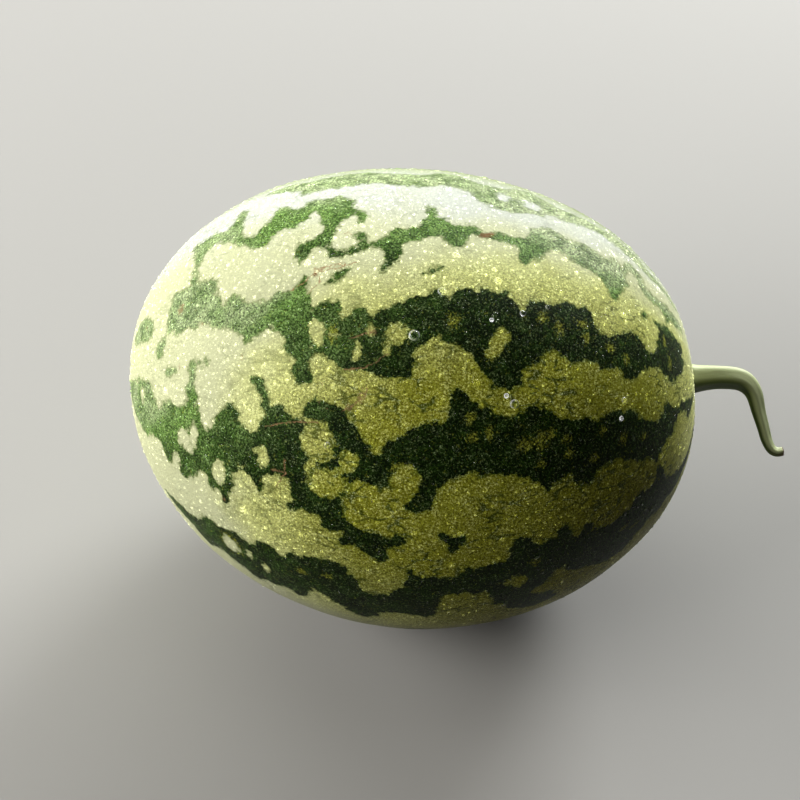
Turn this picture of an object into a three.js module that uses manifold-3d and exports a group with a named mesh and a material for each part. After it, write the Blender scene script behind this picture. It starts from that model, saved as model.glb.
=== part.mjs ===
// A small oval watermelon with its cut stem, lying on its side.
//
// Sizes are millimetres and +Z is up. The origin is the middle of the flat spot
// that the fruit rests on, and +X runs along the fruit towards its stem end.

import * as THREE from 'three';
import { mergeVertices } from 'three/addons/utils/BufferGeometryUtils.js';
import Module from 'manifold-3d';

// ---- the fruit ----
const HALF_LENGTH = 105; // from the middle to either end, before the dimple
const GIRTH_RADIUS = 84.2; // round the middle
const FULLNESS = 2.02; // exponent of the long section, where 2 is a true ellipse
const END_SWEEP = 4.7; // how far both ends sweep off the straight middle line
const SWEEP_SLOPE = 42; // degrees above level of that sweep, on the +Y side
const STEM_POLE_TURN = 9.5; // degrees that the stem end's pole turns along the sweep
const BLOSSOM_POLE_TURN = 0.8; // degrees that the blossom end's pole turns with it
const DIMPLE_DEPTH = 2.5; // how far the skin sinks in round the stem
const DIMPLE_SPREAD = 20; // degrees from the pole over which the dimple fades
const REST_DEPTH = 2; // how much of the round underside the flat spot takes off
const AROUND_FRUIT = 56; // faces round the fruit
const ALONG_FRUIT = 34; // faces from pole to pole

// ---- the stem ----
const STEM_RIBS = 5; // soft ribs along the stem
const STEM_RIB_DEPTH = 0.06; // height of a rib, as a share of the radius
const STEM_RIB_TWIST = 0.6; // how far the ribs turn from root to tip, in radians
const AROUND_STEM = 20; // faces round the stem
const ALONG_STEM = 40; // faces from root to tip
const STEM_ROUTE = [ // x, y, z and the stem's radius there
  [94.8, 12.1, 93.9, 5.6], // inside the fruit, where the root is cut to the skin
  [101.6, 13.4, 94.2, 4.9],
  [109, 14.8, 94.5, 4.3],
  [115.3, 15.4, 94.3, 4.1],
  [119, 15.2, 93.6, 3.9],
  [121.9, 14, 92.1, 3.5], // the elbow
  [124.1, 11.8, 89.9, 3],
  [126.2, 7.6, 85.9, 2.5],
  [128.3, 3.8, 82.3, 2.2],
  [130.1, 0.5, 79.1, 2],
  [132, -1.6, 77, 1.8], // the small hook at the tip
  [134, -2.2, 76.2, 1.7],
  [136.1, -1.8, 76.3, 1.6],
];

const SKIN_GAP = 0.3; // room between the stem's root and the skin
const DEGREE = Math.PI / 180;

// ---- worked out from the sizes above ----
const restHeight = GIRTH_RADIUS - REST_DEPTH;
const sweepWay = new THREE.Vector3(0, Math.cos(SWEEP_SLOPE * DEGREE), Math.sin(SWEEP_SLOPE * DEGREE));
const poleTurnAxis = new THREE.Vector3(1, 0, 0).cross(sweepWay);

const wasm = await Module();
wasm.setup();

// The skin's point for a unit direction from the fruit's middle, in which +X is
// the stem pole and -X the blossom pole. growth moves the skin out evenly.
function skinPoint(direction, growth) {
  const fromStemPole = Math.acos(THREE.MathUtils.clamp(direction.x, -1, 1)) / DEGREE;
  const stemShare = (1 + direction.x) / 2;
  const turn = STEM_POLE_TURN * stemShare ** 2 + BLOSSOM_POLE_TURN * (1 - stemShare) ** 2;
  const turned = direction.clone().applyAxisAngle(poleTurnAxis, turn * DEGREE);

  const girth = Math.hypot(turned.y, turned.z);
  const fullReach = (Math.abs(turned.x) ** FULLNESS + girth ** FULLNESS) ** (-1 / FULLNESS);
  const dimple = (DIMPLE_DEPTH / HALF_LENGTH) * Math.exp(-((fromStemPole / DIMPLE_SPREAD) ** 2));
  const reach = fullReach * (1 - dimple);

  const point = new THREE.Vector3(
    (HALF_LENGTH + growth) * turned.x * reach,
    (GIRTH_RADIUS + growth) * turned.y * reach,
    (GIRTH_RADIUS + growth) * turned.z * reach,
  );
  point.addScaledVector(sweepWay, END_SWEEP * (point.x / HALF_LENGTH) ** 2);
  point.z += restHeight;
  return point;
}

// A closed fruit shape, still round underneath.
function fruitGeometry(growth) {
  const geometry = new THREE.SphereGeometry(1, AROUND_FRUIT, ALONG_FRUIT);
  geometry.rotateZ(-Math.PI / 2); // the sphere's top pole becomes the stem pole
  const places = geometry.getAttribute('position');
  const direction = new THREE.Vector3();
  for (let i = 0; i < places.count; i += 1) {
    direction.fromBufferAttribute(places, i).normalize();
    const point = skinPoint(direction, growth);
    places.setXYZ(i, point.x, point.y, point.z);
  }
  return geometry;
}

// A ribbed, tapering rod bent along the stem's route.
function stemGeometry() {
  const route = new THREE.CatmullRomCurve3(STEM_ROUTE.map(([x, y, z]) => new THREE.Vector3(x, y, z)));
  const radii = new THREE.SplineCurve(STEM_ROUTE.map((place, i) => new THREE.Vector2(i, place[3])));
  const frames = route.computeFrenetFrames(ALONG_STEM);
  const geometry = new THREE.CylinderGeometry(1, 1, 1, AROUND_STEM, ALONG_STEM);
  const places = geometry.getAttribute('position');
  for (let i = 0; i < places.count; i += 1) {
    const step = Math.round((0.5 - places.getY(i)) * ALONG_STEM);
    const share = step / ALONG_STEM;
    const fromAxis = Math.hypot(places.getX(i), places.getZ(i));
    const angle = Math.atan2(places.getZ(i), places.getX(i));
    const rib = 1 + STEM_RIB_DEPTH * Math.cos(STEM_RIBS * (angle + STEM_RIB_TWIST * share));
    const radius = fromAxis * radii.getPoint(route.getUtoTmapping(share)).y * rib;
    const point = route.getPointAt(share);
    point.addScaledVector(frames.normals[step], radius * Math.cos(angle));
    point.addScaledVector(frames.binormals[step], radius * Math.sin(angle));
    places.setXYZ(i, point.x, point.y, point.z);
  }
  return geometry;
}

// A three.js geometry as a solid that can be cut.
function toSolid(geometry) {
  geometry.deleteAttribute('normal');
  geometry.deleteAttribute('uv');
  const merged = mergeVertices(geometry, 1e-4);
  return new wasm.Manifold(new wasm.Mesh({
    numProp: 3,
    vertProperties: new Float32Array(merged.getAttribute('position').array),
    triVerts: new Uint32Array(merged.getIndex().array),
  }));
}

// A cut solid as a three.js geometry again.
function toGeometry(solid) {
  const mesh = solid.getMesh();
  const geometry = new THREE.BufferGeometry();
  geometry.setAttribute('position', new THREE.BufferAttribute(mesh.vertProperties, 3));
  geometry.setIndex(new THREE.BufferAttribute(mesh.triVerts, 1));
  geometry.computeVertexNormals();
  return geometry;
}

// The fruit, with its underside cut level to the flat resting spot.
function makeFruit() {
  const slab = new THREE.BoxGeometry(3 * HALF_LENGTH, 3 * GIRTH_RADIUS, GIRTH_RADIUS);
  slab.translate(0, 0, -GIRTH_RADIUS / 2); // its top is the surface the fruit lies on
  const solid = toSolid(fruitGeometry(0)).subtract(toSolid(slab));
  const rind = new THREE.MeshStandardMaterial({ color: 0x6c8640, roughness: 0.42, metalness: 0 });
  const fruit = new THREE.Mesh(toGeometry(solid), rind);
  fruit.name = 'melon_body';
  return fruit;
}

// The stem, with its root cut to the fruit's skin.
function makeStem() {
  const solid = toSolid(stemGeometry()).subtract(toSolid(fruitGeometry(SKIN_GAP)));
  const bark = new THREE.MeshStandardMaterial({ color: 0x75883f, roughness: 0.6, metalness: 0 });
  const stem = new THREE.Mesh(toGeometry(solid), bark);
  stem.name = 'stem';
  return stem;
}

const watermelon = new THREE.Group();
watermelon.add(makeFruit(), makeStem());

export default watermelon;
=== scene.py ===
"""A small striped watermelon with its cut stem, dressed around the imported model.

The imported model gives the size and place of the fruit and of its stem. This
script adds the striped rind, the ribbed stem and the dew, and a plain studio
with a floor, lamps and a camera. Lengths are metres and +Z is up.

A place on the skin is given as two angles in degrees. The first, along, runs
from 0 at the stem's pole to 180 at the blossom's pole. The second, around, is 0
on the side towards -Y and 90 on top.
"""

import logging
import math
from dataclasses import dataclass, field
from enum import Enum

import bpy
import numpy as np
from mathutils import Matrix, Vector, noise


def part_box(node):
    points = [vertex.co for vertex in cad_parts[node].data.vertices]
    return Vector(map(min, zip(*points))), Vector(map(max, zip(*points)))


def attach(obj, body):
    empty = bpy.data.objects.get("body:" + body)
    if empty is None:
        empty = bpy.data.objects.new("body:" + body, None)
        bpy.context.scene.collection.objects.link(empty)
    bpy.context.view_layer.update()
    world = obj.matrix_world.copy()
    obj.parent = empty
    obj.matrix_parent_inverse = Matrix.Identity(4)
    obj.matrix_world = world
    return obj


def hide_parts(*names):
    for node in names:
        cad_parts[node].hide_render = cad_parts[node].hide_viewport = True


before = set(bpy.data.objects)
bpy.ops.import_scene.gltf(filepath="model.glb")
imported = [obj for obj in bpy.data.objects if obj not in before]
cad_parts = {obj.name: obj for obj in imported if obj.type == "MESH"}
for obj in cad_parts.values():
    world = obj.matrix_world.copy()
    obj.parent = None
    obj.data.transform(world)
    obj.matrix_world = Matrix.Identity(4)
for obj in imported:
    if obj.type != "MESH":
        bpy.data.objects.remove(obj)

MM = 0.001
BODY = "root"
FRUIT_NODE = "melon_body"
STEM_NODE = "stem"

log = logging.getLogger("watermelon")

Array = np.ndarray
Material = bpy.types.Material
Mesh = bpy.types.Mesh
Object = bpy.types.Object
Socket = bpy.types.NodeSocket
Faces = list[list[int]]
Numbers = tuple[float, ...]
Pair = tuple[float, float]
Outline = tuple[Pair, ...]


def tint(red: int, green: int, blue: int) -> Numbers:
    """Turns a colour as a screen shows it into the light values that a shader takes.

    Args:
        red: Red, from 0 to 255.
        green: Green, from 0 to 255.
        blue: Blue, from 0 to 255.

    Returns:
        The linear red, green and blue, and an alpha of 1.
    """
    shares = (red / 255, green / 255, blue / 255)
    light = (one / 12.92 if one <= 0.04045 else ((one + 0.055) / 1.055) ** 2.4 for one in shares)
    return (*light, 1.0)


# The fruit's shape


@dataclass(frozen=True)
class FruitForm:
    """The fruit's smooth shape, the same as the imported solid's."""

    half_length: float  # from the middle to either end
    girth_radius: float  # round the middle
    rest_height: float  # from the surface it lies on up to its middle
    fullness: float = 2.02  # exponent of the long section, where 2 is a true ellipse
    end_sweep: float = 4.7 * MM  # how far both ends sweep off the straight middle line
    sweep_slope: float = 42.0  # degrees above level of that sweep, on the +Y side
    stem_pole_turn: float = 9.5  # degrees that the stem's pole turns along the sweep
    blossom_pole_turn: float = 0.8  # degrees that the blossom's pole turns with it
    dimple_depth: float = 2.5 * MM  # how far the skin sinks in round the stem
    dimple_spread: float = 20.0  # degrees over which that dimple fades
    probe: float = 0.05  # degrees to the places that tell which way the skin faces

    @classmethod
    def from_frame(cls) -> "FruitForm":
        """Reads the fruit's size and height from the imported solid's box.

        Returns:
            The form of that fruit.
        """
        low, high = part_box(FRUIT_NODE)
        radius = (high.y - low.y) / 2
        return cls(half_length=-low.x, girth_radius=radius, rest_height=high.z - radius)

    def middle(self) -> Array:
        """The fruit's middle."""
        return np.array([0.0, 0.0, self.rest_height])

    def away(self, points: Array) -> Array:
        """Unit directions from the fruit's middle to the points given."""
        ways = points - self.middle()
        return ways / np.linalg.norm(ways, axis=1)[:, None]

    def directions(self, along: Array, around: Array) -> Array:
        """Unit directions from the fruit's middle, before its poles are turned.

        Args:
            along: Degrees from the stem's pole.
            around: Degrees round the fruit.

        Returns:
            One direction for each place.
        """
        along, around = np.radians(along), np.radians(around)
        ring = np.sin(along)
        return np.stack([np.cos(along), -ring * np.cos(around), ring * np.sin(around)], -1)

    def skin(self, directions: Array) -> Array:
        """The skin's points for unit directions, without the flat spot.

        Args:
            directions: Unit directions, with +X as the stem's pole.

        Returns:
            One point for each direction.
        """
        slope = math.radians(self.sweep_slope)
        way = np.array([0.0, math.cos(slope), math.sin(slope)])
        stem_share = (1 + directions[:, 0]) / 2
        turn = self.stem_pole_turn * stem_share**2 + self.blossom_pole_turn * (1 - stem_share) ** 2
        turn = np.radians(turn)
        run, lift = directions[:, 0], directions @ way
        turned_lift = run * np.sin(turn) + lift * np.cos(turn)
        turned = directions + (turned_lift - lift)[:, None] * way
        turned[:, 0] = run * np.cos(turn) - lift * np.sin(turn)

        girth = np.hypot(turned[:, 1], turned[:, 2])
        power = self.fullness
        reach = (np.abs(turned[:, 0]) ** power + girth**power) ** (-1 / power)
        from_pole = np.degrees(np.arccos(np.clip(run, -1, 1)))
        dimple = np.exp(-((from_pole / self.dimple_spread) ** 2))
        reach *= 1 - self.dimple_depth / self.half_length * dimple

        sizes = np.array([self.half_length, self.girth_radius, self.girth_radius])
        points = turned * reach[:, None] * sizes
        points += (self.end_sweep * (points[:, 0] / self.half_length) ** 2)[:, None] * way
        points[:, 2] += self.rest_height
        return points

    def skin_at(self, places: Array) -> Array:
        """The skin's points at places given as rows of along and around."""
        return self.skin(self.directions(places[:, 0], places[:, 1]))

    def place(self, along: float, around: float) -> tuple[Vector, Vector]:
        """One point of the skin and the outward direction there.

        Args:
            along: Degrees from the stem's pole.
            around: Degrees round the fruit.

        Returns:
            The point and its unit normal.
        """
        corners = ((along, around), (along + self.probe, around), (along, around + self.probe))
        here, on, beside = self.skin_at(np.array(corners))
        normal = Vector(on - here).cross(Vector(beside - here)).normalized()
        return Vector(here), normal if normal.dot(Vector(here - self.middle())) > 0 else -normal


# The stripes, as outlines on the skin

TOP_STRIPE: Outline = (
    (121, 115), (118, 118), (112, 117), (106, 118), (100, 119), (95, 116.5), (88, 117), (84, 121),
    (80, 119), (77, 116), (70, 116.5), (66, 122), (60, 117), (52, 117.5), (44, 119), (36, 116),
    (30, 112), (26, 114), (20, 112), (22, 108), (26, 109), (34, 106), (37, 108), (45, 111),
    (50, 112), (56, 109), (60, 110.5), (63, 106.5), (66, 105), (70, 103.5), (75, 105),
    (77, 106.5), (77.5, 109), (83, 111), (87, 109), (92, 108.5), (97, 110), (104, 109),
    (110, 108.5), (112, 107), (113, 110), (116, 112),
)

CROWN_STRIPE: Outline = (
    (137, 97), (134, 98.3), (131, 98.6), (129, 97.2), (127.6, 97), (127, 100), (126.8, 104.5),
    (126, 106.5), (125, 104), (124.6, 99), (124.4, 95), (123.8, 91.6), (121.5, 90.6),
    (119.5, 91.2), (118.2, 94.5), (116.8, 97.8), (115.6, 101), (114, 99.4), (112.5, 98.6),
    (111, 99.6), (110, 101.6), (108.4, 102.6), (106, 101.8), (104.4, 103), (102, 101.6),
    (100.8, 100.4), (100.6, 98), (99.8, 96), (98.4, 95.6), (97.4, 93.6), (97.8, 92),
    (98.8, 92.6), (99.6, 94.4), (101, 94.4), (102.4, 92), (103.4, 90), (104, 88), (104, 86),
    (103.3, 83.8), (101.4, 82.6), (99.4, 83), (98, 84.4), (97.8, 86), (98.6, 87.8),
    (97.8, 88.4), (96.9, 87), (96.2, 85.4), (94.8, 85.4), (93.6, 85.8), (92.4, 87.5),
    (91.6, 90), (90, 89.4), (88.5, 89.8), (87, 91), (86.4, 93), (85.8, 96), (85.6, 98.8),
    (84.8, 98.4), (84.2, 95.4), (82, 94.4), (80.5, 92.6), (79, 92.6), (77.5, 93.6), (76, 93.4),
    (75, 92), (73, 91.6), (71, 92.8), (68.5, 92), (66, 92.6), (64.4, 95), (63.8, 98), (62, 100),
    (60, 99.4), (57, 98), (55, 97.2), (52, 98.6), (49, 97), (46.4, 96), (44.4, 98), (43, 96.8),
    (42, 93), (41.4, 89), (42.2, 86.6), (43, 84), (44.3, 81), (45.4, 79.8), (46.4, 83),
    (48, 85.4), (49.5, 87.4), (52, 89.4), (55, 89.6), (57, 91.4), (60, 91.4), (62, 90),
    (62.6, 87), (64.4, 86), (66, 84.8), (67, 88), (68.2, 90), (70.5, 90.8), (73, 90.4),
    (76, 90.8), (77.4, 90), (78, 86.6), (79.5, 86), (81, 87.2), (82, 89), (84, 88.6),
    (86.5, 87.2), (88.5, 86.6), (90, 84.6), (90.2, 81), (91.6, 78), (93, 77.4), (92.6, 80),
    (93.2, 83), (94.6, 84), (96, 84), (97, 82.6), (99, 81.6), (101.4, 81), (103.4, 81.2),
    (104.2, 82.6), (105.4, 84.4), (107, 83.8), (108, 82), (109.2, 79.8), (110, 82.4),
    (109.8, 84.6), (107.4, 86), (105.8, 88.2), (105.4, 90), (106.4, 93), (107.2, 96.6),
    (108.6, 97.4), (109.4, 94.6), (110.6, 92.8), (112.5, 91.4), (115, 91), (116.4, 89),
    (117.4, 87), (119, 85.8), (120.5, 86.6), (122, 88), (124, 88), (125, 90), (127, 91.2),
    (128.6, 92), (131, 92.6), (133, 90.6), (134.1, 88), (133.9, 84), (133.6, 77), (135.4, 77),
    (135, 84), (135.6, 89), (136.6, 94),
)

CROWN_STEM_END: Outline = (
    (43, 95), (41.5, 99), (39, 101.5), (36.5, 98.5), (35, 94), (33, 91.5), (30, 92), (27.5, 93),
    (24, 92), (20, 94), (18, 90), (21, 87), (25.4, 85.5), (27, 83), (28.8, 86), (30, 88),
    (32.5, 87.5), (34.5, 88.5), (36.3, 91.5), (37.5, 96), (39, 98), (40.7, 97), (41.5, 93),
)

BLOSSOM_PATCH: Outline = (
    (147.5, 62), (148.5, 66), (151, 70), (155, 72), (159, 70), (161, 65), (158, 60.5),
    (153, 59), (149.5, 60),
)

UPPER_STRIPE: Outline = (
    (140.5, 62), (141, 69), (140.5, 75), (137.5, 76.5), (135, 77.5), (133, 77.5), (131, 76.5),
    (129, 78), (128, 75.5), (127, 71.5), (125.5, 68.5), (124.2, 67), (123.5, 70), (122, 70.8),
    (120.5, 70), (119.5, 68), (117, 68.2), (114, 68.6), (113, 70.2), (111.5, 71.5),
    (109.7, 71.5), (108.5, 73.5), (107.6, 75), (106.9, 72), (106.2, 69), (105.2, 66.3),
    (104.3, 66.3), (103, 68.5), (101.5, 69), (100.3, 68.4), (99.9, 66), (99.3, 64.8),
    (98.2, 65.2), (97.3, 66), (96.8, 67.2), (95.5, 67), (94.3, 66), (92.5, 67), (91, 67.6),
    (89.5, 69), (87, 70.5), (84.8, 71), (83, 73.3), (81.5, 72.8), (80, 71.5), (78.5, 73),
    (77, 74.3), (75, 72.8), (73.5, 74.8), (71, 74), (69.2, 74.5), (67.8, 72.2), (66.5, 70),
    (65, 71.3), (63.5, 73), (62, 73.4), (60.5, 72.3), (58, 73.8), (56, 74.5), (54, 73.2),
    (52.3, 73.8), (51.3, 71.5), (50.3, 68.5), (49, 66.6), (47, 65.8), (45, 66), (43, 67),
    (41.5, 68), (39.7, 68), (38.4, 66), (37.4, 63.8), (36, 62.3), (34.3, 62), (33, 63.5),
    (32.1, 66.5), (31.6, 70.5), (31.3, 74), (32.8, 77), (31.5, 77.2), (30, 76.2), (28.5, 77.3),
    (26.7, 76), (25, 75.6), (24.2, 73), (22.5, 72.8), (21, 72.5), (20.8, 69.5), (21.2, 66),
    (20.5, 63), (18.5, 60), (19.5, 58), (21.5, 55.8), (23, 53), (25.5, 50.6), (27.3, 49),
    (29.5, 49.6), (30.2, 51.5), (31.5, 54.5), (33.2, 56.2), (35, 56.5), (37, 55.4),
    (39, 54.4), (40.2, 52.4), (42.3, 52), (43.9, 52.7), (44.6, 54.6), (46, 56.4), (48, 56.5),
    (49.3, 55.6), (50.5, 57), (52.5, 57.6), (55, 57), (56.5, 57.6), (57.6, 59.4), (59.2, 60),
    (60.6, 60.8), (62, 59), (63.5, 57.4), (65, 56.4), (66, 54.2), (66.7, 51.6), (68.2, 50.8),
    (70, 51.3), (71.4, 50.8), (71.8, 52.6), (73.2, 55), (74.8, 57.6), (76.8, 59.4),
    (78.8, 60.6), (81, 61.4), (82.4, 62.4), (83.4, 61.4), (85, 60), (86, 57.5), (86.1, 54.5),
    (86.4, 52.9), (88.2, 52.9), (90, 52.4), (92, 52.9), (94, 53.4), (95.3, 54.2), (96.8, 53.4),
    (98.4, 53), (99.6, 54.4), (101, 55.8), (102.6, 56.4), (104.4, 55.6), (105.4, 53.8),
    (104.5, 52), (104.2, 50.4), (105.4, 49.2), (107.2, 49.8), (107.9, 51.6), (107, 53.4),
    (107.8, 55), (109.4, 56.4), (109.8, 59), (111, 61), (113, 62.4), (114.6, 61.8),
    (115.6, 60.4), (117, 59.8), (118.2, 57.6), (119.3, 59.4), (121, 61), (124, 62),
    (127, 62.6), (130, 63.4), (131.5, 61.6), (134, 62.4), (136, 61), (137.2, 60), (139, 61),
)

MIDDLE_STRIPE: Outline = (
    (166, 26), (160, 33), (155, 36.5), (151, 40), (149, 40.2), (146, 39.4), (144.4, 36),
    (143, 33), (141.5, 31.6), (140.5, 33.6), (139, 36), (136, 36.6), (133.6, 36), (132, 37.6),
    (131.2, 40), (131.9, 43), (131.1, 45.5), (131.3, 49), (130.6, 51), (128.8, 51.6),
    (127, 52.2), (127.2, 51.2), (129.8, 49.8), (130.2, 46), (129.4, 43), (129.4, 40),
    (128.8, 37), (127.7, 33.4), (126.5, 31.6), (125.4, 33), (124, 35.6), (123, 38),
    (121.5, 40.4), (119.7, 41.4), (118.7, 40), (118.4, 37.8), (117, 36.4), (115.6, 35.6),
    (114.3, 36.2), (113.5, 38.4), (113, 41), (113.2, 43.6), (114.5, 46), (116, 48),
    (115.4, 49), (113.6, 48.6), (112.5, 46), (112, 43.6), (110.5, 43.4), (109, 43),
    (108, 41.6), (107, 40.8), (106, 41), (105.4, 42.2), (104.8, 44), (103.5, 45.5),
    (102, 45.6), (100.5, 45.5), (99, 45), (98, 44), (97, 43), (96.4, 41.6), (95.5, 40.5),
    (94.5, 38.6), (93.5, 36.6), (92, 35), (91, 34.5), (90.3, 36), (89.9, 38.4), (88.5, 39),
    (87, 39.6), (86, 41.4), (84, 42.4), (81, 42.6), (79.6, 44), (79, 46.5), (78.6, 49),
    (78.4, 50.2), (77.4, 49.6), (76, 48), (74.5, 47), (73, 46), (71.5, 45.8), (70.5, 44.5),
    (69.5, 43.5), (68.4, 43.1), (67.2, 44), (66, 45), (64.5, 45.6), (63, 46), (61.5, 45),
    (60, 43.6), (58.5, 42.6), (57, 42), (55, 41.6), (52, 41), (48, 41.2), (44, 41.6),
    (42.2, 41.4), (41.4, 39.8), (40.4, 38), (39, 37), (37.5, 35.6), (36.4, 34), (35, 33.2),
    (33.5, 34), (32, 36.2), (31.2, 38.4), (29.5, 37.6), (28, 36), (26.5, 34.6), (25, 33.2),
    (23.5, 34), (21, 33.2), (18.5, 32), (15, 31), (12, 28), (14, 24), (16.5, 22), (18.5, 20.5),
    (20, 21.4), (21, 25.5), (22.4, 29.8), (23.6, 31), (25.4, 31), (26.4, 28.8), (27.5, 26),
    (29.5, 24.4), (31.5, 23.4), (33, 22), (34, 19.6), (35.4, 17.8), (37, 20), (39, 21.4),
    (41, 22.4), (43, 24), (45, 25.6), (46.5, 26.6), (49, 27), (50.4, 26), (51.5, 24),
    (53, 22.4), (55, 24), (56.2, 26.2), (57.6, 27.4), (59, 27), (60.5, 25.6), (61.4, 23.8),
    (62.5, 26.4), (64, 28), (66, 29.4), (68, 30), (70, 30.4), (72.5, 31), (75, 31.6), (77, 31),
    (79.6, 29.4), (81.2, 26.6), (82.2, 24.2), (83.6, 23), (85.4, 22.4), (86.2, 23),
    (85.4, 24.6), (84.4, 26.2), (83.7, 28.2), (84, 30.6), (85, 32.6), (86.4, 33.5),
    (88, 32.2), (89, 30.4), (90.2, 28.4), (92, 27.6), (93.5, 29), (95, 29), (96, 27.4),
    (97.2, 26.4), (97.8, 23.4), (98, 20.6), (97.4, 18.6), (96, 16.6), (94.5, 15.6),
    (93, 15.6), (91.5, 15.5), (89.6, 14.2), (88, 15), (86.4, 14.5), (87, 13.4), (88.6, 12.8),
    (89.7, 12), (90, 10), (90.4, 8), (91.6, 7.8), (93.2, 8.8), (94.6, 10), (95.2, 11.4),
    (96.2, 12.4), (97.6, 11.4), (98.4, 12.4), (97.4, 13.6), (96.8, 15), (97.4, 15.8),
    (98.8, 15.4), (100.2, 15), (101, 16), (101.6, 18), (103, 18.8), (105, 19), (106.4, 18.4),
    (108, 18.8), (107.2, 19.8), (106.8, 22), (107.3, 24.4), (108.5, 26.4), (110, 26.6),
    (112, 26), (113, 24), (113.4, 21.4), (113.9, 20.4), (114.6, 22.4), (115.6, 24),
    (116.6, 25), (118, 25), (119, 23.6), (119.6, 21), (120, 18.6), (120.8, 16), (121.2, 13),
    (121.3, 11), (122, 12.8), (122.4, 15.4), (123.6, 16.4), (124.5, 15), (125.4, 15.4),
    (125.9, 17.4), (126.6, 18.9), (128, 19), (129.5, 17), (130.5, 15), (131.6, 14),
    (133, 12.4), (134, 14), (134.2, 16.6), (134.6, 19.4), (135.6, 20), (136.8, 18),
    (137.5, 15), (138.5, 14.4), (139.6, 16), (140.2, 18.6), (141.2, 20.4), (143, 20),
    (145, 18.4), (147, 16), (150, 14.4), (155, 15), (160, 16), (166, 19),
)

LOWER_STRIPE: Outline = (
    (134, -6), (130, -4), (129, -2), (128, 0.5), (126, 1), (124.5, 0), (123, 1), (121, 2),
    (119, 2), (117, 1), (115.5, 0.5), (114.5, 3), (113.5, 4), (111.5, 3.5), (110.5, 1.5),
    (109, 2), (108, 4), (106.5, 3), (105, 3.5), (103.5, 5), (101, 5), (99.5, 5.5), (98.5, 4.5),
    (97.5, 4), (96.8, 2), (95.8, -1), (95.3, -3.5), (94, -5.5), (92.5, -6), (90.5, -5.5),
    (89.3, -3.5), (88.5, -2), (87.3, -0.5), (86.8, 2), (86, 5), (85.3, 3), (83.5, 2),
    (81.5, 2.5), (80, 2), (78.5, 1.5), (77, 3.5), (76, 5.5), (75, 4.5), (73, 4), (71.5, 5),
    (70, 4.5), (69, 6.5), (68, 10), (67, 12), (65.5, 11.5), (64.5, 9.5), (63.5, 7.5),
    (61.5, 8.5), (60, 9), (58.5, 12), (57.5, 9.5), (57, 6.5), (56, 5), (54.5, 6), (53.3, 8.5),
    (52.5, 6), (51.5, 4.5), (50, 3.5), (48.5, 2.5), (47, 3), (45.5, 4.5), (43, 5), (41.5, 8),
    (39.5, 6.5), (37, 7), (35.5, 12), (34.3, 13), (33.5, 9), (33, 4), (32, 1), (30, -1),
    (28, -4), (25, -6), (20, -8), (16, -9), (14, -12), (17, -14), (25, -15), (30, -14),
    (35, -13), (38, -12), (42, -14), (46, -17), (48, -17.5), (50, -16.5), (52, -14),
    (53.5, -11), (55.5, -10), (57, -8.5), (58, -6.5), (59, -4), (60.5, -4.5), (61.5, -7),
    (63, -9), (64.5, -10), (65, -12.5), (63.5, -15), (61, -17), (60.5, -20), (61.5, -23),
    (64, -24), (67, -22.5), (69, -19), (70.5, -15), (72, -12), (72.3, -8.5), (73.5, -5.5),
    (76, -5), (79, -4.5), (80.5, -5), (81.5, -7.5), (82, -11), (82.5, -15), (84, -16.5),
    (86, -15), (87.5, -14.5), (90, -14.5), (92, -15.5), (93, -18), (95, -20), (97, -19),
    (98.5, -16), (100, -13), (102, -10.5), (104, -9), (105, -11), (106, -14), (107.5, -16),
    (109, -14), (110.5, -14), (112, -16), (114, -15), (116, -17), (118, -15), (120, -14),
    (122, -13), (124, -10.5), (126, -13), (128, -16), (131, -14), (134, -12), (138, -13),
    (142, -10), (138, -7),
)

SHORT_DASHES: tuple[Outline, ...] = (
    ((103, 73.6), (102, 75.6), (100.6, 77), (99, 77.4), (100, 75.6), (101.4, 74)),
    ((85.4, 77.4), (83.6, 79), (81.4, 79.6), (82.4, 78.2), (84, 77.4)),
    ((80.8, 16), (78.6, 15), (76.6, 14.2), (77.4, 12.6), (78.4, 10.2), (79.4, 12)),
    ((144, 55), (143.2, 58), (142.2, 59), (141.8, 56), (142.4, 52.6), (143.4, 52)),
    ((139.6, 46), (138, 48), (136.6, 47.8), (138, 46)),
    ((37, 77), (36.4, 78.6), (35.6, 77.6), (36, 76.4)),
)


@dataclass(frozen=True)
class Patch:
    """An oval patch on the skin: a pale island in a stripe, a mottle or a scar."""

    along: float  # degrees from the stem's pole of its middle
    around: float  # degrees round the fruit of its middle
    reach_along: float  # half its size along the fruit, in degrees
    reach_around: float  # half its size round the fruit, in degrees
    lean: float = 0.0  # how many degrees around it shifts for each degree along

    def share(self, along: Array, around: Array) -> Array:
        """How far out each place lies: 0 in the middle and 1 on the patch's edge.

        Args:
            along: Degrees from the stem's pole.
            around: Degrees round the fruit.

        Returns:
            One share for each place.
        """
        step = along - self.along
        turn = wrapped(around - self.around) - self.lean * step
        return np.hypot(step / self.reach_along, turn / self.reach_around)


def patches(*rows: Numbers) -> tuple[Patch, ...]:
    """The patches whose places and sizes the rows give."""
    return tuple(Patch(*row) for row in rows)


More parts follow.
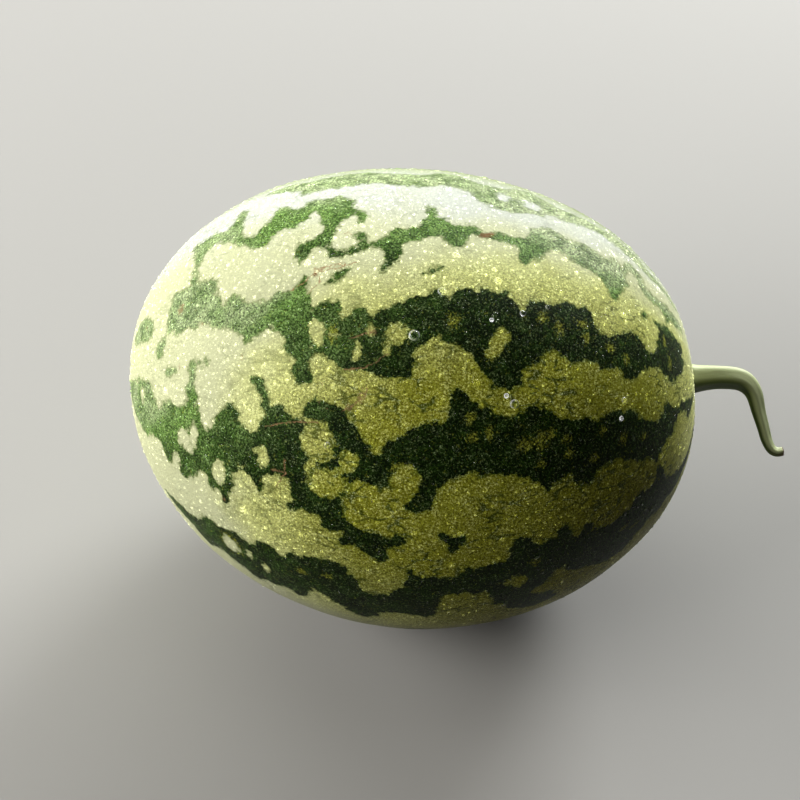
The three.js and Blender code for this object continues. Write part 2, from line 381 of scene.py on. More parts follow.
ISLANDS = patches(
    (104, 61, 1.7, 3.5), (94, 63, 0.9, 2), (96, 57.5, 1, 3), (89, 62, 2.3, 2.5), (91, 58.5, 1, 2),
    (100.5, 61, 1.2, 0.8), (70.8, 61.2, 2.2, 3.6, -1.2), (102.3, 36.3, 3.3, 5.6),
    (100.8, 27, 4.1, 3.9), (96.8, 33, 2.3, 2.4), (98.6, 30.4, 1.2, 1.6), (103.5, 30.8, 1.4, 2.2),
    (113, 30, 1.3, 3), (114.5, 31, 0.9, 1.4), (132.5, 27, 2.4, 3.9), (129.8, 29, 1.3, 4.6),
    (131, 23.6, 1.2, 1.6), (123, 21.5, 1.9, 4.2), (135.5, 17.5, 1, 2.5), (150, 33, 1.5, 4),
    (67.5, -4, 1.9, 2.7), (121.5, -4, 2.4, 3.6), (117, -4, 1.2, 2.2), (113.8, -7, 1, 2.8),
    (71, 110.5, 1.8, 3), (64.5, 110.5, 2.7, 3.3), (129.6, 92.6, 0.8, 0.8),
)

MOTTLES = patches(
    (62, 69, 1.2, 1.8), (58.5, 66.5, 1, 2.2), (53.5, 68.5, 1.3, 1.2), (52.5, 64.5, 0.8, 2),
    (43, 58.5, 1, 2), (47, 62, 1.2, 1.6), (29.5, 69, 0.7, 3), (28, 58, 0.8, 4), (79, 66, 1.2, 2),
    (100.8, 61.2, 1.1, 2.2), (62.5, 37.5, 1.3, 2.6), (65.5, 37, 1.5, 1.8), (57.5, 37, 1, 1.2),
    (60.5, 39, 1, 1.4), (57, 33, 0.9, 2.1), (62.5, 31.5, 1, 1), (75, 39.5, 1.2, 1.1),
    (72, 40.5, 0.8, 2), (75.5, 44, 0.9, 1.6), (51.5, 29.5, 0.9, 1.6), (44.5, 32.5, 0.9, 2),
    (39, 30.5, 1, 1.5), (49.5, 37, 1, 1.6), (106, -2, 1.2, 1.4), (101, -1, 1, 1.2),
    (45.3, -3, 1, 1.4), (42.5, -6, 1.4, 1), (64, 2, 1.1, 1.5), (121.5, -4, 2.6, 4),
    (93, 45, 1.4, 1.5), (88, 32, 1.2, 1.6),
)

SCARS = patches(
    (105.7, 76.6, 0.9, 2, 1.2), (93.6, 62.2, 1.3, 1.2), (94.8, 47.8, 1.2, 2.2, -1.2),
    (97, 45, 0.8, 1.2), (102, 49.5, 0.6, 0.7), (102.5, 45.5, 0.6, 0.7), (101, 44.4, 0.6, 0.6),
    (137, 69, 1.6, 3), (135, 49, 0.7, 1.2), (139.5, 56, 0.7, 1.1), (118.5, 54, 0.5, 1.6),
    (129.5, 63, 0.6, 1), (109.7, 27.4, 2.2, 0.7), (122, 13.5, 0.7, 1.2), (151.5, 66.5, 0.7, 2.4),
    (100.5, 88, 1.1, 0.9),
)

BRUISES = patches((73.7, 91.2, 2.0, 1.1, -0.5), (105.9, 76, 0.5, 0.9, 1.2))

SCRATCHES: tuple[Outline, ...] = (
    ((109.5, 72), (107.5, 74), (105.7, 76.2), (103.5, 77), (101.5, 77.5), (98.5, 79)),
    ((105.4, 77.4), (103, 78.2), (100.5, 79.2)),
    ((104.5, 75), (104.5, 73.5), (106, 71.5)),
    ((112, 38), (108, 40), (105.5, 40.5), (103, 41)),
    ((97.5, 53.4), (94.5, 54), (92.5, 55.5), (91, 57)),
    ((97, 60.5), (95, 61.5), (93.8, 62.2)),
    ((97.5, 44.5), (95.5, 46.5), (94, 47.2), (94, 49)),
    ((110, 24), (108.4, 27.4), (108.6, 30)),
)

def wrapped(turn: Array) -> Array:
    """Brings turns in degrees between -180 and 180."""
    return (turn + 180) % 360 - 180


def spline(before: Array, here: Array, after: Array, beyond: Array, share: Array | float) -> Array:
    """Points on a smooth curve through four rows of points.

    Args:
        before: The points before each stretch.
        here: The points where it starts.
        after: The points where it ends.
        beyond: The points after it.
        share: How far along the stretch, from 0 to 1.

    Returns:
        One point for each stretch.
    """
    return 0.5 * (
        2 * here + (after - before) * share
        + (2 * before - 5 * here + 4 * after - beyond) * share**2
        + (3 * here - before - 3 * after + beyond) * share**3
    )


@dataclass
class StripePattern:
    """Where the rind is dark, pale, mottled or scarred."""

    form: FruitForm
    # The stripes away from the front: their places around, their size, lobes and islands.
    hidden_middles: Numbers = (143.0, 171.0, 201.0, 231.0, 260.0, 289.0, 316.0)
    half_width: float = 7.5  # in degrees around
    starts: Pair = (12.0, 19.0)  # the least and the most degrees along at which a stripe starts
    ends: Pair = (160.0, 168.0)  # the same for its end
    knots: int = 9  # places along with their own middle and width
    wander: float = 2.4  # how far the middle line strays
    swells: Pair = (0.7, 1.3)  # shares of the width at a knot
    tip: float = 14.0  # degrees over which a stripe narrows to an end
    tip_cut: float = 3.0  # degrees by which that end is cut off
    lobe_step: Pair = (1.0, 4.2)  # degrees along between the turns of its edge
    lobe_depth: Pair = (-3.6, 4.8)  # how far in and out the edge steps there
    lobe_carry: float = 0.35  # the share of a step that the next one keeps
    islands_each: int = 5
    # An island's along, its around from the stripe's middle, its two reaches and its lean.
    island_spans: tuple[Pair, ...] = ((35, 145), (-4, 4), (0.8, 2.6), (1.2, 3.4), (-0.8, 0.8))
    reach: float = 14 * MM  # how far from an edge the distance is still worked out
    least_ring: float = 0.12  # the thinnest place, as a share of the girth, that it is fitted to
    scratch_reach: float = 2.5 * MM  # how far from a scratch it is
    soft_rim: float = 1.5  # where a soft mark ends; its patch's edge is at 1
    spline_steps: int = 3  # points for each corner of an outline
    seed: int = 11

    def outlines(self) -> list[Array]:
        """Every dark stripe's outline, rounded, with those of the hidden side.

        Returns:
            The places along each outline.
        """
        drawn = (
            TOP_STRIPE, CROWN_STRIPE, CROWN_STEM_END, BLOSSOM_PATCH, UPPER_STRIPE,
            MIDDLE_STRIPE, LOWER_STRIPE, *SHORT_DASHES,
        )
        return [self.rounded(outline) for outline in (*drawn, *self.hidden_outlines())]

    def rounded(self, outline: Outline) -> Array:
        """A closed smooth curve through an outline's places.

        Args:
            outline: The outline's places, in order.

        Returns:
            The curve's places.
        """
        corners = np.array(outline, float)
        before, after, beyond = (np.roll(corners, shift, 0) for shift in (1, -1, -2))
        shares = (step / self.spline_steps for step in range(self.spline_steps))
        curve = [spline(before, corners, after, beyond, share) for share in shares]
        return np.stack(curve, 1).reshape(-1, 2)

    def hidden_outlines(self) -> list[Outline]:
        """Lobed stripes from pole to pole, for the side away from the front.

        Returns:
            Their outlines.
        """
        draw = np.random.default_rng(self.seed)
        knots = range(self.knots)
        found = []
        for middle in self.hidden_middles:
            start, end = draw.uniform(*self.starts), draw.uniform(*self.ends)
            strays = draw.uniform(-self.wander, self.wander, self.knots)
            swell = draw.uniform(*self.swells, self.knots)
            edges = []
            for side in (1, -1):
                along, out, edge = start, 0.0, []
                while along < end:
                    knot = (along - start) / (end - start) * (self.knots - 1)
                    line = middle + np.interp(knot, knots, strays)
                    to_end = min(along - start, end - along) + self.tip_cut
                    width = self.half_width * np.interp(knot, knots, swell)
                    edge.append((along, line + side * min(1.0, to_end / self.tip) * (width + out)))
                    along += draw.uniform(*self.lobe_step)
                    out = self.lobe_carry * out + draw.uniform(*self.lobe_depth)
                edges.append(edge)
            found.append((*edges[0], *edges[1][::-1]))
        return found

    def hidden_islands(self) -> list[Patch]:
        """Pale islands in the stripes away from the front.

        Returns:
            The islands.
        """
        draw = np.random.default_rng(self.seed + 1)
        found = []
        for middle in self.hidden_middles:
            for _ in range(self.islands_each):
                along, off, *sizes = [draw.uniform(*span) for span in self.island_spans]
                found.append(Patch(along, middle + off, *sizes))
        return found

    def darkness(self, along: Array, around: Array, points: Array) -> Array:
        """How deep inside a dark stripe each point of the skin lies.

        Args:
            along: Degrees from the stem's pole, for each point.
            around: Degrees round the fruit, for each point.
            points: The points themselves.

        Returns:
            The distance to the nearest edge, above zero where the rind is dark.
        """
        depth = np.full(len(points), -self.reach)
        for outline in self.outlines():
            near, inside, distance = self.beside(outline, along, around, points)
            signed = np.where(inside, distance, -distance)
            depth[near] = np.maximum(depth[near], np.clip(signed, -self.reach, self.reach))
        for island in (*ISLANDS, *self.hidden_islands()):
            ring = math.sin(math.radians(island.along))
            size = math.radians((island.reach_along + island.reach_around * ring) / 2)
            outside = (island.share(along, around) - 1) * (size * self.form.girth_radius)
            depth = np.minimum(depth, outside)
        return depth

    def beside(
        self, outline: Array, along: Array, around: Array, points: Array
    ) -> tuple[Array, Array, Array]:
        """Finds the skin points near one outline and how far they are from it.

        Args:
            outline: The outline's places.
            along: Degrees from the stem's pole, for each point.
            around: Degrees round the fruit, for each point.
            points: The points themselves.

        Returns:
            The indices of the points near it, which of them are inside, and
            their distances from the outline.
        """
        middle = outline[:, 1].mean()
        turn = wrapped(around - middle)
        corner_turn = outline[:, 1] - middle
        margin = math.degrees(self.reach / self.form.girth_radius)
        wide = margin / np.maximum(np.sin(np.radians(along)), self.least_ring)
        near = np.flatnonzero(
            (along > outline[:, 0].min() - margin) & (along < outline[:, 0].max() + margin)
            & (turn > corner_turn.min() - wide) & (turn < corner_turn.max() + wide)
        )
        start = self.form.skin_at(outline)
        side = np.roll(start, -1, 0) - start
        length = np.maximum((side**2).sum(1), 1e-12)
        here_along, here_turn = along[near], turn[near]
        inside = np.zeros(len(near), bool)
        distance = np.full(len(near), np.inf)
        for i in range(len(outline)):
            j = (i + 1) % len(outline)
            offset = points[near] - start[i]
            share = np.clip(offset @ side[i] / length[i], 0, 1)
            distance = np.minimum(distance, ((offset - share[:, None] * side[i]) ** 2).sum(1))
            across = (outline[i, 0] > here_along) != (outline[j, 0] > here_along)
            if across.any():
                slope = (corner_turn[j] - corner_turn[i]) / (outline[j, 0] - outline[i, 0])
                crossing = corner_turn[i] + slope * (here_along - outline[i, 0])
                inside ^= across & (here_turn < crossing)
        return near, inside, np.sqrt(distance)

    def scratches(self, points: Array) -> tuple[Array, Array]:
        """How far each point lies to one side of the scratch nearest to it.

        Args:
            points: The skin's points.

        Returns:
            That distance, below zero on the other side, and a share that is 1 on
            the scratch and falls to 0 well away from it.
        """
        away = self.form.away(points)
        across = np.zeros(len(points))
        nearest = np.full(len(points), np.inf)
        for run in SCRATCHES:
            line = self.form.skin_at(np.array(run, float))
            for start, end in zip(line[:-1], line[1:]):
                side = end - start
                offset = points - start
                share = np.clip(offset @ side / (side @ side), 0, 1)
                distance = np.linalg.norm(offset - share[:, None] * side, axis=1)
                beside = (np.cross(side / np.linalg.norm(side), offset) * away).sum(1)
                across = np.where(distance < nearest, beside, across)
                nearest = np.minimum(nearest, distance)
        return across, np.clip(1 - nearest / self.scratch_reach, 0, 1)

    def marks(self, spots: tuple[Patch, ...], along: Array, around: Array) -> Array:
        """Soft marks, from 1 in the middle of each patch to 0 well outside it."""
        nearest = np.min([spot.share(along, around) for spot in spots], axis=0)
        return np.clip(self.soft_rim - nearest, 0, 1)


# Finishes


@dataclass(frozen=True)
class Grain:
    """Soft noise about 0.5: its size, how many finer layers it has and how strong they are."""

    size: float
    detail: float = 2.0
    rough: float = 0.5


@dataclass(frozen=True)
class Step:
    """A smooth step: the values where it starts and ends, and what it gives at each."""

    low: float
    high: float
    start: float = 0.0
    end: float = 1.0


Spots = tuple[Grain, Step]
Stray = tuple[Grain, float]


class Cell(Enum):
    """What a cell pattern gives at each place."""

    FROM_MIDDLE = "F1"
    FROM_EDGE = "DISTANCE_TO_EDGE"


class NodeSheet:
    """A tree of nodes, with short calls that add nodes and link them."""

    def __init__(self, tree: bpy.types.NodeTree) -> None:
        """Keeps the tree that the nodes go into."""
        self.tree = tree

    def node(self, kind: str, inputs: dict | None = None, **settings: object) -> bpy.types.Node:
        """Adds a node, sets its properties and then feeds its inputs.

        Args:
            kind: The node's type.
            inputs: What goes into each input: a constant, a socket or a flow.
            settings: The node's properties.

        Returns:
            The node.
        """
        made = self.tree.nodes.new(kind)
        for key, value in settings.items():
            setattr(made, key, value)
        self.feed(made.inputs, inputs or {})
        return made

    def feed(self, sockets: bpy.types.bpy_prop_collection, inputs: dict) -> None:
        """Sets sockets to constants, or links other sockets into them.

        Args:
            sockets: The sockets of one node.
            inputs: What goes into each, by its name or number.
        """
        for key, value in inputs.items():
            source = value.socket if isinstance(value, Flow) else value
            if isinstance(source, Socket):
                self.tree.links.new(source, sockets[key])
            else:
                sockets[key].default_value = source


class MaterialSheet(NodeSheet):
    """A new material's nodes, with short calls for the kinds that finishes use."""

    def __init__(self, name: str) -> None:
        """Starts a material with only a Principled shader and its output.

        Args:
            name: The material's name.
        """
        self.material = bpy.data.materials.new(name)
        self.material.use_nodes = True
        super().__init__(self.material.node_tree)

    def flow(self, kind: str, output: str, inputs: dict, **settings: object) -> "Flow":
        """Adds a node and gives one of its outputs."""
        return Flow(self, self.node(kind, inputs, **settings).outputs[output])

    def place(self) -> "Flow":
        """The place on the object, in its own frame."""
        return self.flow("ShaderNodeTexCoord", "Object", {})

    def attribute(self, name: str, output: str = "Fac") -> "Flow":
        """One of the mesh's own attributes."""
        return self.flow("ShaderNodeAttribute", output, {}, attribute_name=name)

    def coated(self, colour: "Feed", *coats: tuple["Feed", "Feed"]) -> "Flow":
        """Lays other colours over one.

        Args:
            colour: The colour underneath.
            coats: The share and the colour of each coat, from the lowest up.

        Returns:
            The colour of the whole.
        """
        for share, coat in coats:
            inputs = {"Factor": share, "A": colour, "B": coat}
            colour = self.flow("ShaderNodeMix", "Result", inputs, data_type="RGBA")
        return colour

    def relief(self, height: "Feed", distance: float, strength: float = 1.0) -> "Flow":
        """The direction of a surface raised by a height, a distance in metres at height 1."""
        inputs = {"Strength": strength, "Distance": distance, "Height": height}
        return self.flow("ShaderNodeBump", "Normal", inputs)

    def finished(self, inputs: dict) -> Material:
        """Feeds the shader's own sockets and gives the material."""
        self.feed(self.tree.nodes["Principled BSDF"].inputs, inputs)
        return self.material


class Flow:
    """A place, a value or a colour in a material, with calls that add nodes after it."""

    def __init__(self, sheet: MaterialSheet, socket: Socket) -> None:
        """Keeps the sheet that it is on and the socket that gives it."""
        self.sheet = sheet
        self.socket = socket

    def maths(self, operation: str, other: "Feed" = 0.0) -> "Flow":
        """One sum, product or other operation of this value and another."""
        return self.sheet.flow("ShaderNodeMath", "Value", {0: self, 1: other}, operation=operation)

    def __add__(self, other: "Feed") -> "Flow":
        """The sum of two values."""
        return self.maths("ADD", other)

    def __sub__(self, other: "Feed") -> "Flow":
        """One value less another."""
        return self.maths("SUBTRACT", other)

    def __mul__(self, other: "Feed") -> "Flow":
        """The product of two values."""
        return self.maths("MULTIPLY", other)

    def __truediv__(self, other: "Feed") -> "Flow":
        """One value divided by another."""
        return self.maths("DIVIDE", other)

    def vectors(self, operation: str, inputs: dict) -> "Flow":
        """One operation on this vector or colour."""
        return self.sheet.flow(
            "ShaderNodeVectorMath", "Vector", {0: self, **inputs}, operation=operation
        )

    def lit(self, gain: "Feed") -> "Flow":
        """This colour made lighter or darker, by one factor."""
        return self.vectors("SCALE", {"Scale": gain})

    def noise(self, grain: Grain, output: str = "Fac") -> "Flow":
        """Soft noise about 0.5 at this place."""
        inputs = {"Scale": 1 / grain.size, "Detail": grain.detail, "Roughness": grain.rough}
        return self.sheet.flow("ShaderNodeTexNoise", output, {"Vector": self, **inputs})

    def stray(self, stray: Stray) -> "Flow":
        """Soft noise about 0 at this place, of the strength given."""
        return (self.noise(stray[0]) - 0.5) * stray[1]

    def spots(self, spots: Spots) -> "Flow":
        """Soft spots at this place: noise through a step."""
        return self.noise(spots[0]).step(spots[1])

    def cells(self, size: float, cell: Cell = Cell.FROM_MIDDLE) -> "Flow":
        """Distances at this place in a pattern of cells of the size given, in metres."""
        inputs = {"Vector": self, "Scale": 1 / size}
        return self.sheet.flow("ShaderNodeTexVoronoi", "Distance", inputs, feature=cell.value)

    def step(self, step: Step) -> "Flow":
        """The value through a smooth step.

        Args:
            step: The step.

        Returns:
            What the step gives.
        """
        inputs = {
            "Value": self, "From Min": step.low, "From Max": step.high,
            "To Min": step.start, "To Max": step.end,
        }
        settings = {"interpolation_type": "SMOOTHSTEP"}
        return self.sheet.flow("ShaderNodeMapRange", "Result", inputs, **settings)


Feed = Flow | Socket | float | Numbers


@dataclass(frozen=True)
class RindFinish:
    """Smooth waxy rind: mottled pale green with dark stripes, scars and fine mist.

    The comments head the values of one layer each. Where a step follows a grain, it
    turns that noise into spots; where a number does, it is the noise's strength.
    """

    pale: Numbers = tint(169, 171, 52)  # the ground between the stripes, away from the painted light
    half_lit_ground: Numbers = tint(226, 230, 142)  # the ground half-way into the painted light on one side
    painted_lit_ground: Numbers = tint(218, 221, 174)  # the ground on that side, lightened as painted light
    glare_ground: Numbers = tint(213, 217, 203)  # the ground where that painted light is strongest, a painted glare
    deep: Numbers = tint(144, 158, 102)  # the ground on the far side, darkened as painted shade
    olive: Numbers = tint(138, 140, 20)  # deeper parts of the ground, and painted shade between the mist's beads
    night: Numbers = tint(23, 39, 9)  # the stripes at their darkest
    sheen_green: Numbers = tint(110, 143, 70)  # the stripes where a painted sheen lightens them
    sheen_pale: Numbers = tint(188, 200, 152)  # the stripes where that painted sheen is strongest
    clouds: Numbers = tint(58, 90, 26)  # the lighter clouds in the stripes
    fringe: Numbers = tint(96, 116, 34)  # the green along a stripe's edge
    mottle: Numbers = tint(150, 154, 52)  # the olive of the small marks inside a stripe
    vein: Numbers = tint(72, 88, 24)  # thin lines and dots between the stripes
    scar: Numbers = tint(168, 132, 92)  # corky scars and scratches
    rust: Numbers = tint(124, 80, 40)  # the deep brown of old bruises
    painted_glint: Numbers = tint(238, 242, 190)  # painted highlights of the mist's beads on the ground
    painted_dim_glint: Numbers = tint(150, 162, 118)  # the same painted highlights on the stripes
    roughness: float = 0.42
    sheen_level: float = 0.045  # how strongly the wax mirrors

    # The mist: its grains, how they crowd, where along the fruit it is wet, the painted light
    # and shade of its beads, and their painted highlights.
    mist: Grain = Grain(0.74 * MM, 2.0, 1.0)
    crowding: Stray = (Grain(4 * MM), 0.22)
    wet_run: Step = Step(50 * MM, 110 * MM, 0.55)
    least_gain: float = 0.25
    ground_bead_shading: float = 4.6
    stripe_bead_shading: Step = Step(0.2, 1.2, 10.5, 6.0)
    ground_painted_glints: Step = Step(0.54, 0.66, 0.0, 0.42)
    plain_side: Step = Step(0.4, 1.1, 1.0, 0.45)
    stripe_painted_glints: Step = Step(0.58, 0.7)
    painted_glint_share: float = 0.7
    sheen_glint: float = 0.4
    relief: Pair = (0.3 * MM, 0.8)

    # The stripes' edge: cells and grit that break it up, how much softer it is under the
    # stripe's painted sheen, and the green fringe along it.
    edge_lobes: tuple[Pair, ...] = ((4.8 * MM, 2.2 * MM), (2.1 * MM, 1.4 * MM))
    lobe_middle: float = 0.45
    edge_grit: Stray = (Grain(1.3 * MM, 4.0, 0.7), 3.8 * MM)
    edge_softening: float = 1.6
    edge: Step = Step(-0.28 * MM, 0.28 * MM)
    fringe_edge: Step = Step(-1.4 * MM, -0.1 * MM, 0.0, 0.55)

    # The ground: its shaded side, the light painted on its lit side, and its olive parts.
    shaded_side: Step = Step(0.0, 0.95, 1.0, 0.1)
    uneven_painted_light: Stray = (Grain(17 * MM, 3.0), 0.4)
    painted_light_steps: tuple[Step, ...] = (Step(0.0, 0.6), Step(0.45, 0.95), Step(1.1, 1.7))
    olive_spots: Spots = (Grain(9 * MM, 4.0, 0.6), Step(0.5, 0.72, 0.0, 0.5))
    bead_shade_gaps: Step = Step(0.48, 0.34, 0.0, 0.3)

    # Veins and dots on it: where they are, how clear, and how they run.
    vein_areas: Spots = (Grain(20 * MM), Step(0.42, 0.56))
    vein_gaps: Spots = (Grain(4.2 * MM, 3.0), Step(0.42, 0.52))
    vein_stretch: Numbers = (0.5, 1.0, 1.0)
    vein_bend: Stray = (Grain(5 * MM), 5 * MM)
    vein_spacing: float = 4.4 * MM
    vein_edge: Step = Step(0.12, 0.02)
    clear_least: float = 0.12
    clear_shaded: float = 0.78
    dots: Spots = (Grain(0.9 * MM), Step(0.58, 0.7))
    dot_areas: Spots = (Grain(7 * MM), Step(0.44, 0.6, 0.0, 0.8))

    # The stripes: the sheen painted on them, their clouds, and the mottles and specks in them.
    uneven_sheen: Stray = (Grain(8 * MM, 3.0), 0.9)
    sheen_steps: tuple[Step, ...] = (Step(0.0, 1.0), Step(0.9, 2.0))
    cloud_spots: Spots = (Grain(5 * MM, 4.0, 0.6), Step(0.4, 0.68, 0.0, 0.7))
    cloud_side: Step = Step(0.0, 1.0, 0.35, 1.0)
    ragged_mottle: Stray = (Grain(0.9 * MM, 4.0, 0.7), 4.5)
    mottle_edge: Step = Step(0.35, 1.3, 0.0, 0.85)
    specks: Spots = (Grain(1.8 * MM, 3.0), Step(0.62, 0.78, 0.0, 0.35))

    # Scars, bruises and scratches: what breaks them up, and their edges.
    crackle: Grain = Grain(0.9 * MM, 4.0, 0.7)
    crackle_strength: float = 2.0
    scar_edge: Step = Step(1.65, 2.15, 0.0, 0.6)
    scar_dullness: Step = Step(0.0, 1.0, 0.0, 0.25)
    rust_edge: Step = Step(1.35, 2.1, 0.0, 0.95)
    scratch_bend: Stray = (Grain(1.8 * MM, 3.0, 0.6), 2.4 * MM)
    scratch_edge: Step = Step(0.4 * MM, 0.06 * MM)
    scratch_ends: Step = Step(0.25, 0.7)
    scratch_gaps: Step = Step(0.78, 1.12, 0.15, 0.85)

    def material(self) -> Material:
        """Builds the finish as a material.

        Returns:
            The material.
        """
        sheet = MaterialSheet("waxy_rind")
        place = sheet.place()
        run = sheet.attribute("run", "Vector")
        sun = sheet.attribute("sun")
        faded = sheet.attribute("faded")
        grain = place.noise(self.mist)
        crowd = grain + place.stray(self.crowding)
        wet = sheet.flow("ShaderNodeSeparateXYZ", "X", {"Vector": run}).step(self.wet_run)
        edge = self.ragged_edge(place)
        # The side away from the painted light, where the mist's grain, olive spots and veins show
        # most.
        shade = sun.step(self.shaded_side)

        ground = sheet.coated(
            self.ground(place, run, sun, shade),
            (edge.step(self.fringe_edge), self.fringe),
            # Painted shade between the mist's beads.
            (grain.step(self.bead_shade_gaps) * shade, self.olive),
        )
        # Painted light and shade of the mist's beads, then their painted highlights, fewer where
        # light is painted.
        ground = ground.lit(self.gain(grain, shade * wet * self.ground_bead_shading))
        painted_ground_glints = crowd.step(self.ground_painted_glints) * wet * sun.step(self.plain_side)
        ground = sheet.coated(ground, (painted_ground_glints, self.painted_glint)).lit(painted_ground_glints + 1.0)

        stripe = self.stripe(place, sun, faded)
        # The same painted bead light, shade and highlights on the stripes, lighter under the painted
        # sheen.
        stripe = stripe.lit(self.gain(grain, faded.step(self.stripe_bead_shading)))
        painted_stripe_glints = crowd.step(self.stripe_painted_glints) * wet
        stripe = sheet.coated(stripe, (painted_stripe_glints * self.painted_glint_share, self.painted_dim_glint))
        stripe = stripe.lit(painted_stripe_glints * faded * self.sheen_glint + 1.0)

        dark = (edge / (faded * self.edge_softening + 1.0)).step(self.edge)
        crackle = place.noise(self.crackle) * self.crackle_strength
        scarred = (sheet.attribute("scar") + crackle).step(self.scar_edge)
        scarred = scarred.maths("MAXIMUM", self.scratch(place, crackle))
        bruised = (sheet.attribute("rust") + crackle).step(self.rust_edge)
        return sheet.finished({
            "Base Color": sheet.coated(
                ground, (dark, stripe), (scarred, self.scar), (bruised, self.rust)
            ),
            "Roughness": scarred.step(self.scar_dullness) + self.roughness,
            "Specular IOR Level": self.sheen_level,
            "Normal": sheet.relief(grain, *self.relief),
        })

    def scratch(self, place: Flow, crackle: Flow) -> Flow:
        """The thin healed scratches.

        Args:
            place: The place on the fruit.
            crackle: What breaks them up.

        Returns:
            Their share at each place, 0 away from them.
        """
        sheet = place.sheet
        across = sheet.attribute("across") + place.stray(self.scratch_bend)
        line = across.maths("ABSOLUTE").step(self.scratch_edge)
        beside = sheet.attribute("beside").step(self.scratch_ends)
        return line * beside * crackle.step(self.scratch_gaps)

    def gain(self, grain: Flow, strength: Feed) -> Flow:
        """Painted light and shade of the mist's beads, as a factor about 1 on the skin's colour."""
        return ((grain - 0.5) * strength + 1.0).maths("MAXIMUM", self.least_gain)

    def ragged_edge(self, place: Flow) -> Flow:
        """Breaks the stripes' smooth edges into small lobes, spikes and grains.

        Args:
            place: The place on the fruit.

        Returns:
            How deep each place lies inside a stripe.
        """
        edge = place.sheet.attribute("stripe_depth")
        for size, strength in self.edge_lobes:
            edge = edge + (place.cells(size) - self.lobe_middle) * strength
        return edge + place.stray(self.edge_grit)

    def ground(self, place: Flow, run: Flow, sun: Flow, shade: Flow) -> Flow:
        """The pale rind between the stripes, with its veins and dots and its painted light.

        Args:
            place: The place on the fruit.
            run: The place on the unrolled skin.
            sun: How much light is painted on it.
            shade: How far it lies away from that painted light.

        Returns:
            Its colour.
        """
        sheet = place.sheet
        uneven_light = sun + run.stray(self.uneven_painted_light)
        half_lit_ground, painted_lit_ground, glare_ground = (uneven_light.step(step) for step in self.painted_light_steps)
        inputs = {"Vector": run, "Scale": self.vein_stretch}
        long_run = sheet.flow("ShaderNodeMapping", "Vector", inputs)
        bend, bend_reach = self.vein_bend
        bend = long_run.noise(bend, "Color").lit(bend_reach)
        long_run = long_run.vectors("ADD", {1: bend})
        lines = long_run.cells(self.vein_spacing, Cell.FROM_EDGE).step(self.vein_edge)
        veins = lines * place.spots(self.vein_gaps) * place.spots(self.vein_areas)
        dots = place.spots(self.dots) * place.spots(self.dot_areas)
        # Veins and dots show less where light is painted.
        clear = shade * self.clear_shaded + self.clear_least
        return sheet.coated(
            self.pale, (half_lit_ground, self.half_lit_ground), (painted_lit_ground, self.painted_lit_ground), (glare_ground, self.glare_ground),
            # Painted shade on the far side's ground.
            (sheet.attribute("far"), self.deep),
            (place.spots(self.olive_spots) * shade, self.olive),
            (veins * clear, self.vein), (dots * clear, self.vein),
        )

    def stripe(self, place: Flow, sun: Flow, faded: Flow) -> Flow:
        """The dark rind in the stripes, with its lighter mottles and the sheen painted on them.

        Args:
            place: The place on the fruit.
            sun: How much light is painted on it.
            faded: How much sheen is painted on the stripe.

        Returns:
            Its colour.
        """
        sheet = place.sheet
        faded = faded + place.stray(self.uneven_sheen)
        sheen_green, sheen_pale = (faded.step(step) for step in self.sheen_steps)
        # The lighter clouds are stronger where light is painted.
        cloudy = place.spots(self.cloud_spots) * sun.step(self.cloud_side)
        marks = sheet.attribute("mottle") + place.stray(self.ragged_mottle)
        return sheet.coated(
            self.night, (sheen_green, self.sheen_green), (sheen_pale, self.sheen_pale), (cloudy, self.clouds),
            (marks.step(self.mottle_edge), self.mottle),
            (place.spots(self.specks), self.mottle),
        )


@dataclass(frozen=True)
class StemFinish:
    """A cut green stem, ribbed and a little dry, with a brown cut end and painted light on its upper
    side.
    """

    green: Numbers = tint(62, 80, 10)  # the colour on its underside and between the ribs
    ridge: Numbers = tint(88, 106, 24)  # the paler colour along the ribs
    top: Numbers = tint(220, 230, 170)  # the palest colour, painted light on its upper side
    brown: Numbers = tint(112, 82, 44)  # dry patches and the cut end
    roughness: float = 0.5
    fibres: Grain = Grain(0.7 * MM, 3.0)
    ridge_edge: Step = Step(0.5, 1.6)  # where ribs and fibres are paler
    # Where the painted light on the upper side starts and is full.
    top_light_side: Step = Step(0.3, 0.8)
    blotches: Grain = Grain(2.4 * MM, 3.0)
    dry_edge: Step = Step(0.7, 1.25)  # where blotches are dry
    relief: Pair = (0.16 * MM, 0.6)  # the depth and strength of its surface

    def material(self) -> Material:
        """Builds the finish as a material.

        Returns:
            The material.
        """
        sheet = MaterialSheet("ribbed_stem")
        fibres = sheet.attribute("strand", "Vector").noise(self.fibres)
        blotches = sheet.place().noise(self.blotches)
        return sheet.finished({
            "Base Color": sheet.coated(
                self.green,
                ((sheet.attribute("rib") + fibres).step(self.ridge_edge), self.ridge),
                # Painted light on the stem's upper side.
                (sheet.attribute("upper").step(self.top_light_side), self.top),
                ((sheet.attribute("dry") + blotches).step(self.dry_edge), self.brown),
            ),
            "Roughness": self.roughness,
            "Normal": sheet.relief(fibres + blotches, *self.relief),
        })


